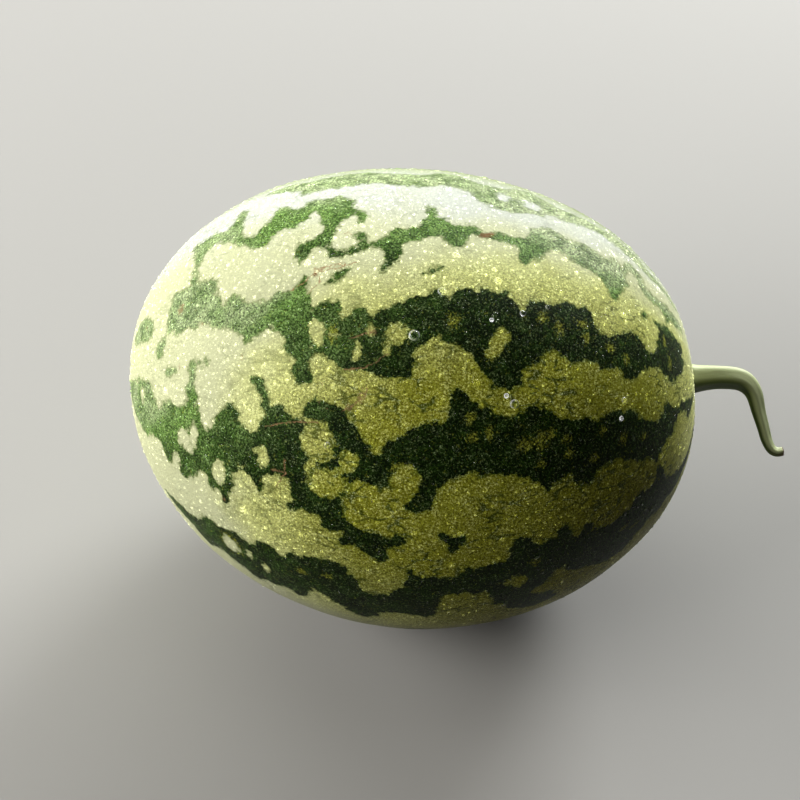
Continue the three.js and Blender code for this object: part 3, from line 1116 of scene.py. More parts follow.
@dataclass(frozen=True)
class CorkFinish:
    """The dry brown button where the blossom was."""

    dark: Numbers = tint(96, 72, 44)  # the deep colour in its cracks
    light: Numbers = tint(170, 144, 96)  # the pale colour on its ridges
    roughness: float = 0.85
    crumbs: Grain = Grain(0.8 * MM, 4.0, 0.6)
    crack_edge: Step = Step(0.36, 0.64)
    relief: float = 0.25 * MM

    def material(self) -> Material:
        """Builds the finish as a material.

        Returns:
            The material.
        """
        sheet = MaterialSheet("blossom_cork")
        crumbs = sheet.place().noise(self.crumbs)
        return sheet.finished({
            "Base Color": sheet.coated(self.dark, (crumbs.step(self.crack_edge), self.light)),
            "Roughness": self.roughness,
            "Normal": sheet.relief(crumbs, self.relief),
        })


@dataclass(frozen=True)
class WaterFinish:
    """Clear water."""

    name: str = "clear_water"
    roughness: float = 0.14
    rim: Step | None = None  # where a drop's rim turns milky white as a painted highlight, if it does
    bend: float = 1.33  # its index of refraction

    def material(self) -> Material:
        """Builds the finish as a material.

        Returns:
            The material.
        """
        sheet = MaterialSheet(self.name)
        return sheet.finished({
            "Base Color": (1.0, 1.0, 1.0, 1.0),
            "Roughness": self.roughness,
            "IOR": self.bend,
            # A milky rim, a painted highlight in place of the light a drop gathers at its edge.
            "Transmission Weight": sheet.attribute("rim").step(self.rim) if self.rim else 1.0,
        })


# The object's pieces


def new_piece(name: str, mesh: Mesh, material: Material) -> Object:
    """Puts a smooth mesh with one material into the scene, at the origin.

    Args:
        name: The piece's name.
        mesh: Its mesh, already in place.
        material: Its material.

    Returns:
        The new object.
    """
    mesh.name = name
    mesh.materials.clear()
    mesh.materials.append(material)
    mesh.polygons.foreach_set("use_smooth", np.ones(len(mesh.polygons), bool))
    return placed(name, mesh)


def placed(name: str, data: bpy.types.ID | None) -> Object:
    """Links a new object into the scene.

    Args:
        name: The object's name.
        data: Its mesh, lamp or camera.

    Returns:
        The object.
    """
    made = bpy.data.objects.new(name, data)
    bpy.context.scene.collection.objects.link(made)
    return made


def mesh_of(name: str, points: Array, faces: Faces | Array, **guides: Array) -> Mesh:
    """Makes a mesh, with a number or a vector stored for every point.

    Args:
        name: The mesh's name.
        points: Its points.
        faces: Its faces, as the numbers of their points.
        guides: The values to store, by the attribute's name.

    Returns:
        The mesh.
    """
    mesh = bpy.data.meshes.new(name)
    mesh.from_pydata(np.asarray(points).tolist(), [], [list(map(int, face)) for face in faces])
    mesh.update()
    for guide, values in guides.items():
        kind, key = ("FLOAT", "value") if values.ndim == 1 else ("FLOAT_VECTOR", "vector")
        kept = mesh.attributes.new(guide, kind, "POINT")
        kept.data.foreach_set(key, values.astype(np.float32).ravel())
    return mesh


def tube(rings: int, sides: int, first: int = 0) -> Faces:
    """The squares between rings of points, of which each follows the last.

    Args:
        rings: How many rings there are.
        sides: Points on each.
        first: The number of the first point.

    Returns:
        The squares, which face outwards where the rings turn to the left.
    """
    found = []
    for here in range(first, first + (rings - 1) * sides, sides):
        for i in range(sides):
            j = (i + 1) % sides
            found.append([here + i, here + j, here + sides + j, here + sides + i])
    return found


def cap(tip: int, first: int, sides: int) -> Faces:
    """The triangles from one point to the ring that starts at the first point."""
    return [[tip, first + i, first + (i + 1) % sides] for i in range(sides)]


def flipped(faces: Faces) -> Faces:
    """The same faces, which face the other way."""
    return [[face[0], *face[:0:-1]] for face in faces]


def circle(sides: int) -> Array:
    """The turns of points round a ring, in radians."""
    return np.linspace(0, 2 * math.pi, sides, endpoint=False)


SKIN_GUIDES = {
    "run", "sun", "far", "faded", "stripe_depth", "mottle", "scar", "rust", "across", "beside",
}


@dataclass
class Rind:
    """The whole fruit's skin, from the stem's dimple to the blossom's end."""

    form: FruitForm
    pattern: StripePattern
    finish: RindFinish = field(default_factory=RindFinish)
    steps: int = 128  # squares along each of the six patches
    unevenness: float = 0.45 * MM  # how far the skin swells and dips
    swell_size: float = 26 * MM
    flat_blend: float = 0.3 * MM  # over which the flat spot rounds into the skin
    painted_light_way: Numbers = (-0.425, 0.82, -0.384)  # the way that the side with painted light faces
    painted_light_edge: Pair = (-0.89, -0.41)  # how far that way the painted light starts and is at its full
    full_painted_light: float = 1.1  # the most that this painted light alone makes of its share

    # Each share or run below goes with the degrees in the row above it. The crown gets more
    # painted light still, and the far side's ground gets painted shade, but neither at the poles.
    crown_light_turns: Numbers = (78.0, 90.0, 101.0, 118.0, 150.0)
    crown_light_shares: Numbers = (0.0, 0.15, 0.5, 0.5, 0.0)
    far_shade_turns: Numbers = (111.0, 131.0, 245.0, 290.0)
    far_shade_shares: Numbers = (0.0, 1.0, 1.0, 0.0)
    pole_runs: Numbers = (6.0, 30.0, 144.0, 170.0)
    pole_shares: Numbers = (0.0, 1.0, 1.0, 0.0)

    # A painted sheen lightens the stripes on top, the more so towards the stem, and at the
    # blossom's end, where those higher up get it some degrees along sooner.
    sheen_turns: Numbers = (72.0, 88.0, 95.0, 101.0, 117.0, 136.0, 170.0)
    sheen_shares: Numbers = (0.0, 0.7, 0.95, 1.45, 1.65, 0.45, 0.1)
    stem_runs: Pair = (52.0, 72.0)
    stem_factors: Pair = (2.1, 1.0)
    blossom_runs: Numbers = (98.0, 112.0, 122.0, 128.0, 134.0, 160.0)
    blossom_shares: Numbers = (0.0, 0.36, 0.45, 0.8, 1.35, 1.5)
    sooner_turns: Numbers = (0.0, 40.0, 70.0, 90.0)
    sooner_runs: Numbers = (-28.0, 0.0, 21.0, 9.0)

    def build(self) -> Object:
        """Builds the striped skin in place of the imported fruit.

        Returns:
            The piece.
        """
        directions, quads = self.even_sphere()
        along = np.degrees(np.arccos(np.clip(directions[:, 0], -1, 1)))
        around = np.degrees(np.arctan2(directions[:, 2], -directions[:, 1]))
        smooth = self.form.skin(directions)
        guides = self.guides(directions, along, around, smooth)
        mesh = mesh_of("rind", self.settled(self.swollen(smooth)), quads, **guides)
        piece = new_piece("rind", mesh, self.finish.material())
        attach(piece, BODY)
        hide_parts(FRUIT_NODE)
        return piece

    def guides(
        self, directions: Array, along: Array, around: Array, smooth: Array
    ) -> dict[str, Array]:
        """What the finish needs to know at each point.

        Args:
            directions: Its direction from the fruit's middle.
            along: Its degrees from the stem's pole.
            around: Its degrees round the fruit.
            smooth: The point itself.

        Returns:
            The values, by the attribute's name.
        """
        across, beside = self.pattern.scratches(smooth)
        off_poles = np.interp(along, self.pole_runs, self.pole_shares)
        # Painted shade: the far side's ground is made deeper, but not at the poles.
        far = np.interp(around % 360, self.far_shade_turns, self.far_shade_shares)
        return {
            "stripe_depth": self.pattern.darkness(along, around, smooth),
            "mottle": self.pattern.marks(MOTTLES, along, around),
            "scar": self.pattern.marks(SCARS, along, around),
            "rust": self.pattern.marks(BRUISES, along, around),
            "across": across,
            "beside": beside,
            "run": self.unrolled(along, around),
            "sun": self.painted_light_share(directions, around, off_poles),
            "far": far * off_poles,
            "faded": self.painted_sheen_share(along, around),
        }

    def painted_light_share(self, directions: Array, around: Array, off_poles: Array) -> Array:
        """How much light is painted on each point, on the side that faces its way.

        Args:
            directions: Its direction from the fruit's middle.
            around: Its degrees round the fruit.
            off_poles: How far it is off both poles, from 0 to 1.

        Returns:
            The share, 0 off that side, about 1 on it and more on the crown.
        """
        facing = directions @ (np.array(self.painted_light_way) / np.linalg.norm(self.painted_light_way))
        low, high = self.painted_light_edge
        crown = np.interp(around % 360, self.crown_light_turns, self.crown_light_shares)
        return np.clip((facing - low) / (high - low), 0, self.full_painted_light) + crown * off_poles

    def painted_sheen_share(self, along: Array, around: Array) -> Array:
        """How much sheen is painted on the stripes at each point.

        Args:
            along: Degrees from the stem's pole.
            around: Degrees round the fruit.

        Returns:
            The share: 0 where no sheen is painted, 1 where it makes them a light
            green, and up to about 3 where it makes them palest.
        """
        turn = (around + 90) % 360 - 90
        crown = np.interp(turn, self.sheen_turns, self.sheen_shares)
        crown *= np.interp(along, self.stem_runs, self.stem_factors)
        run = along + np.interp(turn, self.sooner_turns, self.sooner_runs)
        return np.maximum(crown, np.interp(run, self.blossom_runs, self.blossom_shares))

    def even_sphere(self) -> tuple[Array, Array]:
        """Covers a unit sphere with squares of nearly one size.

        Returns:
            The directions of its points, and the squares, which face outwards.
        """
        n = self.steps
        first, second = np.meshgrid(np.arange(n + 1), np.arange(n + 1), indexing="ij")
        numbers = np.arange((n + 1) ** 2).reshape(n + 1, n + 1)
        ring = (numbers[:-1, :-1], numbers[1:, :-1], numbers[1:, 1:], numbers[:-1, 1:])
        squares = np.stack(ring, -1).reshape(-1, 4)
        sides, faces = [], []
        for axis in range(3):
            for end in (0, n):
                side = np.zeros((n + 1, n + 1, 3), int)
                side[..., axis] = end
                side[..., (axis + 1) % 3] = first
                side[..., (axis + 2) % 3] = second
                faces.append((squares if end else squares[:, ::-1]) + len(sides) * numbers.size)
                sides.append(side.reshape(-1, 3))
        corners, merged = np.unique(np.concatenate(sides), axis=0, return_inverse=True)
        spread = np.tan(math.pi / 4 * (2 * corners / n - 1))
        directions = spread / np.linalg.norm(spread, axis=1)[:, None]
        return directions, merged.ravel()[np.concatenate(faces)]

    def swollen(self, smooth: Array) -> Array:
        """Moves the skin in and out by slow, soft swells."""
        swell = np.array([noise.noise(Vector(point) / self.swell_size) for point in smooth])
        return smooth + self.form.away(smooth) * (swell * self.unevenness)[:, None]

    def settled(self, points: Array) -> Array:
        """Flattens the skin where it rests, with a soft edge.

        Args:
            points: The skin's points, which are moved.

        Returns:
            The same points.
        """
        height = points[:, 2]
        points[:, 2] = (height + np.sqrt(height**2 + self.flat_blend**2)) / 2
        points[:, 2] -= points[:, 2].min()
        return points

    def unrolled(self, along: Array, around: Array) -> Array:
        """Where each point lies on a straight tube, so that marks run from pole to pole.

        Args:
            along: Degrees from the stem's pole.
            around: Degrees round the fruit.

        Returns:
            One point of the tube for each.
        """
        radius, turn = self.form.girth_radius, np.radians(around)
        arc = np.radians(along) * self.form.half_length
        return np.stack([arc, radius * np.cos(turn), radius * np.sin(turn)], -1)


@dataclass
class Stem:
    """The cut stem: a ribbed rod that flares at its root and is bent by its elbow."""

    form: FruitForm
    finish: StemFinish = field(default_factory=StemFinish)
    # Its middle line and radius from root to tip, in millimetres.
    route: tuple[Numbers, ...] = (
        (94.8, 12.1, 93.9, 5.6), (101.6, 13.4, 94.2, 4.9), (109, 14.8, 94.5, 4.3),
        (115.3, 15.4, 94.3, 4.1), (119, 15.2, 93.6, 3.9), (121.9, 14, 92.1, 3.5),
        (124.1, 11.8, 89.9, 3), (126.2, 7.6, 85.9, 2.5), (128.3, 3.8, 82.3, 2.2),
        (130.1, 0.5, 79.1, 2), (132, -1.6, 77, 1.8), (134, -2.2, 76.2, 1.7),
        (136.1, -1.8, 76.3, 1.6),
    )
    trace_steps: int = 1200  # for measuring its length
    ribs: int = 5
    rib_height: float = 0.045  # a share of the radius, as the waves' height
    rib_twist: float = 0.6  # radians from root to tip
    wave_height: float = 0.02
    wave_sides: int = 3
    wave_start: float = 1.0
    wave_length: float = 7 * MM  # for each radian of their rise and fall
    sides: int = 60
    rings: int = 200
    flare: float = 0.5 * MM  # how much wider it is where it meets the skin
    flare_length: float = 1.8 * MM
    # The rings that round off the cut end: millimetres ahead of it and shares of its width.
    cut_rounding: Outline = ((0.25, 0.97), (0.42, 0.86), (0.36, 0.7), (0.12, 0.5), (0.0, 0.25))
    dry_length: float = 7 * MM  # of the dry stretch near the cut
    dry_share: float = 0.5
    strand_stretch: float = 0.12  # the fibres' pattern sees this share of the length
    strand_radius: float = 4 * MM

    def build(self) -> Object:
        """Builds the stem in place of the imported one.

        Returns:
            The piece.
        """
        line, radius, run = self.middle_line()
        tangent, normal, binormal = self.frames(line)
        turn = circle(self.sides)
        twist = self.rib_twist * run / run[-1]
        ribbing = np.cos(self.ribs * (turn[None, :] + twist[:, None]))
        root = np.exp(-np.clip(run - self.root_run(line, run), 0, None) / self.flare_length)
        width = radius[:, None] * (1 + self.rib_height * ribbing) + (self.flare * root)[:, None]
        waves = np.sin(self.wave_sides * turn + self.wave_start)[None, :]
        width *= 1 + self.wave_height * waves * np.sin(run / self.wave_length)[:, None]
        spoke = normal[:, None] * np.cos(turn)[None, :, None]
        spoke = spoke + binormal[:, None] * np.sin(turn)[None, :, None]
        rings = line[:, None] + spoke * width[..., None]
        cut = [
            line[-1] + tangent[-1] * ahead * MM + spoke[-1] * (width[-1] * share)[:, None]
            for ahead, share in self.cut_rounding
        ]
        points = np.concatenate([rings.reshape(-1, 3), *cut, line[:1], line[-1:]])
        count, sides = len(rings) + len(cut), self.sides
        root_point = count * sides
        faces = tube(count, sides) + flipped(cap(root_point, 0, sides))
        faces += cap(root_point + 1, root_point - sides, sides)
        guides = self.guides(run, turn, ribbing, spoke[..., 2])
        mesh = mesh_of("ribbed_stem", points, faces, **guides)
        piece = new_piece("ribbed_stem", mesh, self.finish.material())
        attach(piece, BODY)
        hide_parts(STEM_NODE)
        return piece

    def middle_line(self) -> tuple[Array, Array, Array]:
        """The stem's smooth middle line in even steps.

        Returns:
            Its points, the radius at each and the length up to each.
        """
        knots = np.array(self.route) * MM
        knots = np.concatenate([2 * knots[:1] - knots[1:2], knots, 2 * knots[-1:] - knots[-2:-1]])
        share = np.linspace(0, len(self.route) - 1 - 1e-9, self.trace_steps)
        index = share.astype(int)
        curve = spline(*(knots[index + step] for step in range(4)), (share - index)[:, None])
        lengths = np.linalg.norm(np.diff(curve[:, :3], axis=0), axis=1)
        run = np.concatenate([[0], np.cumsum(lengths)])
        even = np.linspace(0, run[-1], self.rings)
        column = [np.interp(even, run, curve[:, axis]) for axis in range(4)]
        return np.stack(column[:3], -1), column[3], even

    def frames(self, line: Array) -> tuple[Array, Array, Array]:
        """Three directions at each step of the line, which don't twist on the way.

        Args:
            line: The line's points.

        Returns:
            The directions along the line, across it and across both.
        """
        tangent = np.gradient(line, axis=0)
        tangent /= np.linalg.norm(tangent, axis=1)[:, None]
        normal = np.zeros_like(line)
        side = np.array([0.0, 0.0, 1.0])
        for i, way in enumerate(tangent):
            side = side - way * (side @ way)
            side /= np.linalg.norm(side)
            normal[i] = side
        return tangent, normal, np.cross(tangent, normal)

    def root_run(self, line: Array, run: Array) -> float:
        """The length along the line at which it leaves the fruit's skin.

        Args:
            line: The line's points.
            run: The length up to each.

        Returns:
            That length.
        """
        near = self.rings // 2
        pole, _ = self.form.place(0.0, 0.0)
        return float(np.interp(pole.x, line[:near, 0], run[:near]))

    def guides(self, run: Array, turn: Array, ribbing: Array, upper: Array) -> dict[str, Array]:
        """What the finish needs to know at each point.

        Args:
            run: The length up to each ring.
            turn: The turn of each point of a ring.
            ribbing: How high the rib is at each point of each ring.
            upper: How far up each of those points faces.

        Returns:
            The values, by the attribute's name.
        """
        dryness = np.clip((run - run[-1] + self.dry_length) / self.dry_length, 0, 1)
        radius = self.strand_radius
        strand = np.stack(np.broadcast_arrays(
            run[:, None] * self.strand_stretch, radius * np.cos(turn), radius * np.sin(turn),
        ), -1)
        cut_rings = len(self.cut_rounding)
        cut_points = np.ones(cut_rings * self.sides)
        return {
            "upper": self.closed(upper),
            "rib": self.closed(ribbing) / 2 + 0.5,
            "dry": np.concatenate([
                np.repeat(dryness * self.dry_share, self.sides), cut_points, [0.0, 1.0],
            ]),
            "strand": self.closed(strand),
        }

    def closed(self, values: Array) -> Array:
        """Gives the cut end's rings what the last ring has, and both end points nothing.

        Args:
            values: The values for each point of each ring.

        Returns:
            The values for every point of the stem.
        """
        shape = values.shape[2:]
        rows = np.concatenate([values, *[values[-1:]] * len(self.cut_rounding)])
        return np.concatenate([rows.reshape(-1, *shape), np.zeros((2, *shape))])


@dataclass
class BlossomButton:
    """The small dry button at the end away from the stem."""

    form: FruitForm
    finish: CorkFinish = field(default_factory=CorkFinish)
    along: float = 179.9  # in degrees
    radius: float = 2.8 * MM
    height: float = 0.55 * MM
    hollow: float = 0.4  # its middle's share of that height
    shoulder: float = 0.8  # how far in its highest ring lies; less is further in
    bluntness: float = 0.6  # how blunt that ring is; less is blunter
    wrinkles: int = 9
    wrinkle_lean: float = 5.0  # radians from middle to rim
    wrinkle_height: float = 0.12  # a share of the button's height
    rim_depth: float = 0.35 * MM  # how far its rim is sunk in the skin
    unroundness: float = 0.04  # how high the bumps on its rim are, as a share of the radius
    bumps: int = 3
    bump_start: float = 1.2
    rings: int = 10
    sides: int = 36

    def build(self) -> Object:
        """Builds the button on the blossom's pole.

        Returns:
            The piece.
        """
        middle, normal = self.form.place(self.along, 0.0)
        across = normal.orthogonal().normalized()
        other = normal.cross(across)
        points = [middle + normal * self.height * self.hollow]
        for ring in range(1, self.rings + 1):
            share = ring / self.rings
            rise = math.sin(math.pi * min(1.0, share**self.shoulder)) ** self.bluntness
            sunk = self.rim_depth if ring == self.rings else 0.0
            for turn in circle(self.sides).tolist():
                wrinkle = math.sin(self.wrinkles * turn + self.wrinkle_lean * share)
                lift = rise * (1 + self.wrinkle_height * wrinkle * share) * self.height - sunk
                bump = math.sin(self.bumps * turn + self.bump_start)
                flat = across * math.cos(turn) + other * math.sin(turn)
                radius = self.radius * share * (1 + self.unroundness * bump)
                points.append(middle + flat * radius + normal * lift)
        points.append(middle - normal * self.height)
        last = len(points) - 1
        faces = cap(0, 1, self.sides) + flipped(tube(self.rings, self.sides, 1))
        faces += flipped(cap(last, last - self.sides, self.sides))
        mesh = mesh_of("blossom_button", points, faces)
        piece = new_piece("blossom_button", mesh, self.finish.material())
        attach(piece, BODY)
        return piece


@dataclass(frozen=True)
class DropShape:
    """The shape of a drop of radius 1: a low dome on a flat base."""

    bulge: float  # its height; the radius is 1
    sides: int
    rings: int
    sink: float = 0.12  # how far its rim sits in the skin

    def points(self) -> Array:
        """Its points, from the rim up.

        Returns:
            The points, with the top as the last.
        """
        found = []
        for ring in range(self.rings):
            climb = math.pi / 2 * ring / self.rings
            level = self.bulge * math.sin(climb) - self.sink
            for turn in circle(self.sides).tolist():
                reach = math.cos(climb)
                found.append((reach * math.cos(turn), reach * math.sin(turn), level))
        return np.array([*found, (0.0, 0.0, self.bulge - self.sink)])

    def faces(self) -> Faces:
        """Its faces, the base among them.

        Returns:
            The faces, which face outwards.
        """
        top = self.rings * self.sides
        base = list(range(self.sides))[::-1]
        return [*tube(self.rings, self.sides), *cap(top, top - self.sides, self.sides), base]


@dataclass(frozen=True)
class DropSize:
    """One class of dew drops."""

    name: str
    shape: DropShape
    least_radius: float
    most_radius: float
    spacing: float  # the least distance between two drops
    density: float  # drops tried on each square metre
    crowding: float  # how strongly the draw favours small drops


class DropInput(Enum):
    """The named inputs of the tree that scatters drops, each with its kind."""

    SPACING = ("Least Spacing", "Float")
    DENSITY = ("Drops Per Square Metre", "Float")
    SMALLEST = ("Smallest Radius", "Float")
    LARGEST = ("Largest Radius", "Float")
    CROWDING = ("Favour Small", "Float")
    LOWEST = ("Lowest Height", "Float")
    THICKEST = ("Thickest Height", "Float")
    SEED = ("Seed", "Int")
    DROP = ("Drop", "Object")
    WATER = ("Water", "Material")


# The drops that have their own places: along, around and the radius in millimetres.
LARGE_DROPS: tuple[Numbers, ...] = (
    (81.5, 73, 1.5), (66, 69.5, 1.1), (71, 77.5, 1.3), (72, 67, 0.8), (86, 62, 1.9), (57, 89, 1.1),
    (44, 45, 1.2), (67.5, 47, 1.6), (45, 39.5, 0.9), (61, 72, 0.8), (100.5, 36, 1.1), (69, 49, 0.9),
)


@dataclass
class Dew:
    """Water drops all over the fruit, clear of the spot it rests on."""

    rind: Object
    form: FruitForm
    finish: WaterFinish = field(default_factory=WaterFinish)
    # The drops that have their own places are clearer, with a milky rim as a painted highlight.
    clear: WaterFinish = WaterFinish("clear_drop", 0.04, Step(0.5, 0.95, 1.0, 0.65))
    sizes: tuple[DropSize, ...] = (
        DropSize("fine_dew", DropShape(0.62, 5, 1), 0.2 * MM, 0.4 * MM, 1.4 * MM, 6.0e5, 1.2),
        DropSize("dew", DropShape(0.6, 6, 2), 0.36 * MM, 0.75 * MM, 2.3 * MM, 1.6e5, 1.6),
        DropSize("large_dew", DropShape(0.5, 12, 4), 0.65 * MM, 1.5 * MM, 9 * MM, 1.1e4, 2.6),
    )
    placed_shape: DropShape = DropShape(0.7, 24, 7)
    lowest: float = 40 * MM  # no drop sits lower than this
    thickest: float = 98 * MM  # from this height up the drops stand at their closest
    seed: int = 5

    def build(self) -> list[Object]:
        """Builds every class of drops.

        Returns:
            The pieces.
        """
        water = self.finish.material()
        tree = self.scatter_tree()
        meshes = {
            size.name: self.scattered(size, tree, water, self.seed + i)
            for i, size in enumerate(self.sizes)
        }
        pieces = [new_piece(name, mesh, water) for name, mesh in meshes.items()]
        pieces.append(new_piece("placed_dew", self.placed_drops(), self.clear.material()))
        for piece in pieces:
            piece.visible_shadow = False
            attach(piece, BODY)
        return pieces

    def placed_drops(self) -> Mesh:
        """Sets the largest drops at their own places.

        Returns:
            Their mesh.
        """
        model = self.placed_shape.points()
        points, faces = [], []
        for along, around, radius in LARGE_DROPS:
            middle, normal = self.form.place(along, around)
            across = normal.orthogonal().normalized()
            axes = np.array([across, normal.cross(across), normal])
            first = len(points) * len(model)
            faces += [[first + corner for corner in face] for face in self.placed_shape.faces()]
            points.append(np.array(middle) + model @ axes * radius * MM)
        rim = np.tile(np.hypot(model[:, 0], model[:, 1]), len(LARGE_DROPS))
        return mesh_of("placed_dew", np.concatenate(points), faces, rim=rim)

    def scattered(self, size: DropSize, tree: bpy.types.NodeTree, water: Material, seed: int) -> Mesh:
        """Scatters one class of drops and keeps them as a plain mesh.

        Args:
            size: The class of drops.
            tree: The tree that scatters them.
            water: Their material.
            seed: Starts their draws.

        Returns:
            Their mesh.
        """
        drop = placed("one_drop", mesh_of("one_drop", size.shape.points(), size.shape.faces()))
        ground = placed("dew_ground", self.rind.data.copy())
        modifier = ground.modifiers.new("scatter", "NODES")
        modifier.node_group = tree
        chosen = {
            DropInput.SPACING: size.spacing,
            DropInput.DENSITY: size.density,
            DropInput.SMALLEST: size.least_radius,
            DropInput.LARGEST: size.most_radius,
            DropInput.CROWDING: size.crowding,
            DropInput.LOWEST: self.lowest,
            DropInput.THICKEST: self.thickest,
            DropInput.SEED: seed,
            DropInput.DROP: drop,
            DropInput.WATER: water,
        }
        named = {key.value[0]: value for key, value in chosen.items()}
        for item in tree.interface.items_tree:
            if item.name in named:
                modifier[item.identifier] = named[item.name]
        bpy.context.view_layer.update()
        evaluated = ground.evaluated_get(bpy.context.evaluated_depsgraph_get())
        mesh = bpy.data.meshes.new_from_object(evaluated)
        for spare in (ground, drop):
            bpy.data.objects.remove(spare, do_unlink=True)
        for spare in list(mesh.attributes):
            if spare.name in SKIN_GUIDES:
                mesh.attributes.remove(spare)
        return mesh

    def scatter_tree(self) -> bpy.types.NodeTree:
        """A tree that sets drops on a surface and returns only the drops.

        Returns:
            The tree.
        """
        tree = bpy.data.node_groups.new("scatter_drops", "GeometryNodeTree")
        inputs = [("Surface", "Geometry"), *(key.value for key in DropInput)]
        for label, kind in inputs:
            tree.interface.new_socket(label, in_out="INPUT", socket_type=f"NodeSocket{kind}")
        tree.interface.new_socket("Drops", in_out="OUTPUT", socket_type="NodeSocketGeometry")
        sheet = NodeSheet(tree)
        entry = sheet.node("NodeGroupInput").outputs
        given = {key: entry[key.value[0]] for key in DropInput}
        lowest, seed = given[DropInput.LOWEST], given[DropInput.SEED]

        place = sheet.node("GeometryNodeInputPosition").outputs["Position"]
        height = sheet.node("ShaderNodeSeparateXYZ", {"Vector": place}).outputs["Z"]
        clear = sheet.node("FunctionNodeCompare", {"A": height, "B": lowest})
        thick = sheet.node("ShaderNodeMapRange", {
            "Value": height, "From Min": lowest, "From Max": given[DropInput.THICKEST],
        })
        spread = sheet.node("GeometryNodeDistributePointsOnFaces", {
            "Mesh": entry["Surface"], "Selection": clear.outputs["Result"],
            "Distance Min": given[DropInput.SPACING], "Density Max": given[DropInput.DENSITY],
            "Density Factor": thick.outputs["Result"], "Seed": seed,
        }, distribute_method="POISSON")

        chance = sheet.node("FunctionNodeRandomValue", {"Seed": seed}).outputs["Value"]
        favoured = {0: chance, 1: given[DropInput.CROWDING]}
        power = sheet.node("ShaderNodeMath", favoured, operation="POWER").outputs["Value"]
        radius = sheet.node("ShaderNodeMapRange", {
            "Value": power, "To Min": given[DropInput.SMALLEST], "To Max": given[DropInput.LARGEST],
        })
        model = sheet.node("GeometryNodeObjectInfo", {"Object": given[DropInput.DROP]})
        copies = sheet.node("GeometryNodeInstanceOnPoints", {
            "Points": spread.outputs["Points"], "Instance": model.outputs["Geometry"],
            "Rotation": spread.outputs["Rotation"], "Scale": radius.outputs["Result"],
        })
        drops = {"Geometry": copies.outputs["Instances"]}
        drops = {"Geometry": sheet.node("GeometryNodeRealizeInstances", drops).outputs["Geometry"]}
        wet = sheet.node("GeometryNodeSetMaterial", {**drops, "Material": given[DropInput.WATER]})
        sheet.node("NodeGroupOutput", {"Drops": wet.outputs["Geometry"]})
        return tree


# The studio


def outward(azimuth: float, elevation: float) -> Vector:
    """A direction away from the fruit.

    Args:
        azimuth: Degrees round from -Y towards +X.
        elevation: Degrees above level.

    Returns:
        The unit direction.
    """
    turn, rise = math.radians(azimuth), math.radians(elevation)
    level = math.cos(rise)
    return Vector((math.sin(turn) * level, -math.cos(turn) * level, math.sin(rise)))


@dataclass(frozen=True)
class SoftLamp:
    """A square lamp that shines on the fruit."""

    name: str
    azimuth: float  # degrees round from -Y towards +X
    elevation: float  # degrees above level
    size: Pair  # its width and height
    power: float  # in watts
    colour: Numbers


WARM = (1.0, 0.99, 0.97)
COOL = (0.97, 0.99, 1.0)


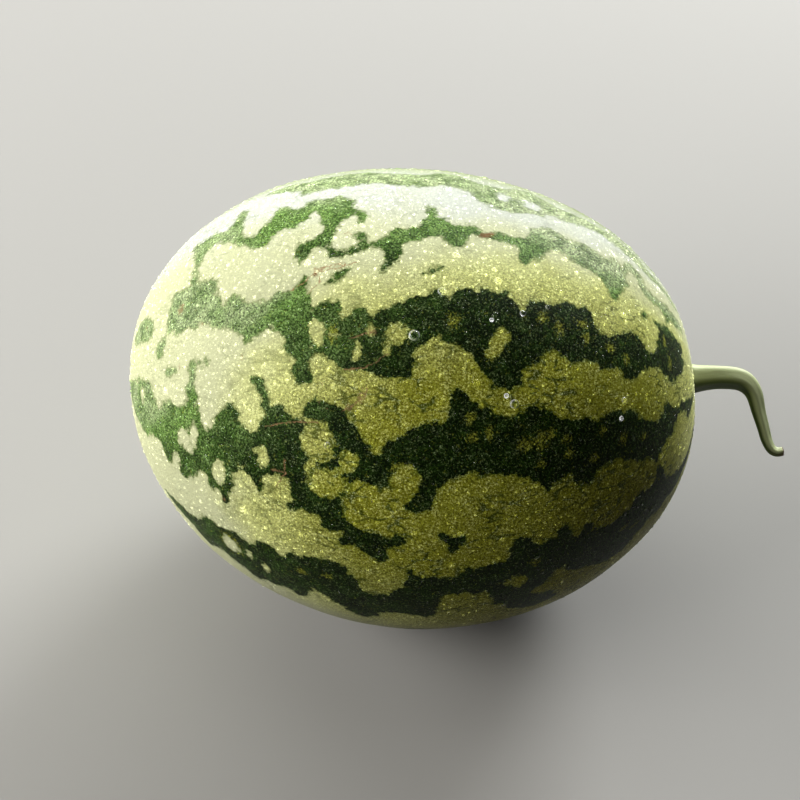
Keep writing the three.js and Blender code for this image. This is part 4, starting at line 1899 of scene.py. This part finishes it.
@dataclass
class Studio:
    """A pale floor, soft lamps and the camera."""

    form: FruitForm
    floor_reach: float = 3.0  # half the floor's width
    floor_colour: Numbers = tint(176, 174, 169)  # the floor as the camera sees it
    bounce_colour: Numbers = tint(30, 20, 10)  # the floor as the light that it throws back
    floor_roughness: float = 0.9
    lamps: tuple[SoftLamp, ...] = (
        SoftLamp("left_window", -96.0, 14.0, (0.9, 0.8), 21.6, WARM),
        SoftLamp("corner_window", -140.0, 27.0, (0.8, 0.8), 5.5, COOL),
        SoftLamp("back_window", 180.0, 22.0, (0.9, 0.8), 7.0, COOL),
        SoftLamp("right_window", 155.0, 24.0, (0.7, 0.5), 28.5, COOL),
        SoftLamp("front_fill", -60.0, 31.0, (0.9, 0.9), 13.0, WARM),
        SoftLamp("ceiling", 180.0, 72.0, (1.2, 1.2), 4.0, (0.99, 1.0, 1.0)),
    )
    lamp_distance: float = 1.6  # from the fruit's middle
    sky: Numbers = (1.0, 0.92, 0.76, 1.0)
    sky_level: float = 0.014
    azimuth: float = 8.0  # the camera's, in degrees round from -Y towards +X
    elevation: float = 48.0  # degrees that it looks down
    distance: float = 0.62868  # from the fruit's middle, in metres
    lens: float = 76.5  # its focal length, in millimetres
    sensor: float = 36.0  # its width, in millimetres
    shift: Pair = (-0.0158, -0.0021)  # how far the picture is moved off the lens's axis

    def build(self) -> None:
        """Sets up the whole studio."""
        self.add_camera()
        self.add_floor()
        for lamp in self.lamps:
            self.add_lamp(lamp)
        self.add_sky()
        bpy.context.scene.view_settings.view_transform = "Standard"

    def aim(self, made: Object, way: Vector, distance: float) -> None:
        """Sets an object off the fruit's middle and turns it towards that."""
        made.location = Vector(self.form.middle()) + way * distance
        made.rotation_euler = way.to_track_quat("Z", "Y").to_euler()

    def add_camera(self) -> None:
        """Puts the camera where it sees the fruit from the front and above."""
        data = bpy.data.cameras.new("camera")
        data.lens = self.lens
        data.sensor_width = self.sensor
        data.shift_x, data.shift_y = self.shift
        camera = placed("camera", data)
        self.aim(camera, outward(self.azimuth, self.elevation), self.distance)
        bpy.context.scene.camera = camera

    def add_floor(self) -> None:
        """Lays a wide pale floor under the fruit."""
        sides = ((-1, -1), (1, -1), (1, 1), (-1, 1))
        corners = [(self.floor_reach * x, self.floor_reach * y, 0) for x, y in sides]
        sheet = MaterialSheet("pale_floor")
        seen, *others = (
            sheet.flow("ShaderNodeLightPath", f"Is {ray} Ray", {})
            for ray in ("Camera", "Glossy", "Transmission")
        )
        for other in others:
            seen = seen.maths("MAXIMUM", other)
        material = sheet.finished({
            "Base Color": sheet.coated(self.bounce_colour, (seen, self.floor_colour)),
            "Roughness": self.floor_roughness,
        })
        floor = new_piece("floor", mesh_of("floor", corners, [[0, 1, 2, 3]]), material)

    def add_lamp(self, lamp: SoftLamp) -> None:
        """Hangs one lamp and turns it to the fruit.

        Args:
            lamp: The lamp.
        """
        data = bpy.data.lights.new(lamp.name, "AREA")
        data.shape = "RECTANGLE"
        data.size, data.size_y = lamp.size
        data.energy = lamp.power
        data.color = lamp.colour
        way = outward(lamp.azimuth, lamp.elevation)
        self.aim(placed(lamp.name, data), way, self.lamp_distance)

    def add_sky(self) -> None:
        """Fills the room with a weak even light."""
        world = bpy.data.worlds.new("room")
        world.use_nodes = True
        background = world.node_tree.nodes["Background"].inputs
        background["Color"].default_value = self.sky
        background["Strength"].default_value = self.sky_level
        bpy.context.scene.world = world


def report(pieces: list[Object]) -> None:
    """Logs each piece's name and size.

    Args:
        pieces: The pieces.
    """
    for piece in pieces:
        piece.data.calc_loop_triangles()
        log.info("%s: %d triangles", piece.name, len(piece.data.loop_triangles))


def main() -> None:
    """Builds the studio and every piece, and logs each piece's size."""
    logging.basicConfig(level=logging.INFO, format="%(name)s: %(message)s")
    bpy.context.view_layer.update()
    form = FruitForm.from_frame()
    Studio(form).build()
    rind = Rind(form, StripePattern(form)).build()
    stem = Stem(form).build()
    button = BlossomButton(form).build()
    drops = Dew(rind, form).build()
    report([rind, stem, button, *drops])
    bpy.context.view_layer.update()


if __name__ == "__main__":
    main()
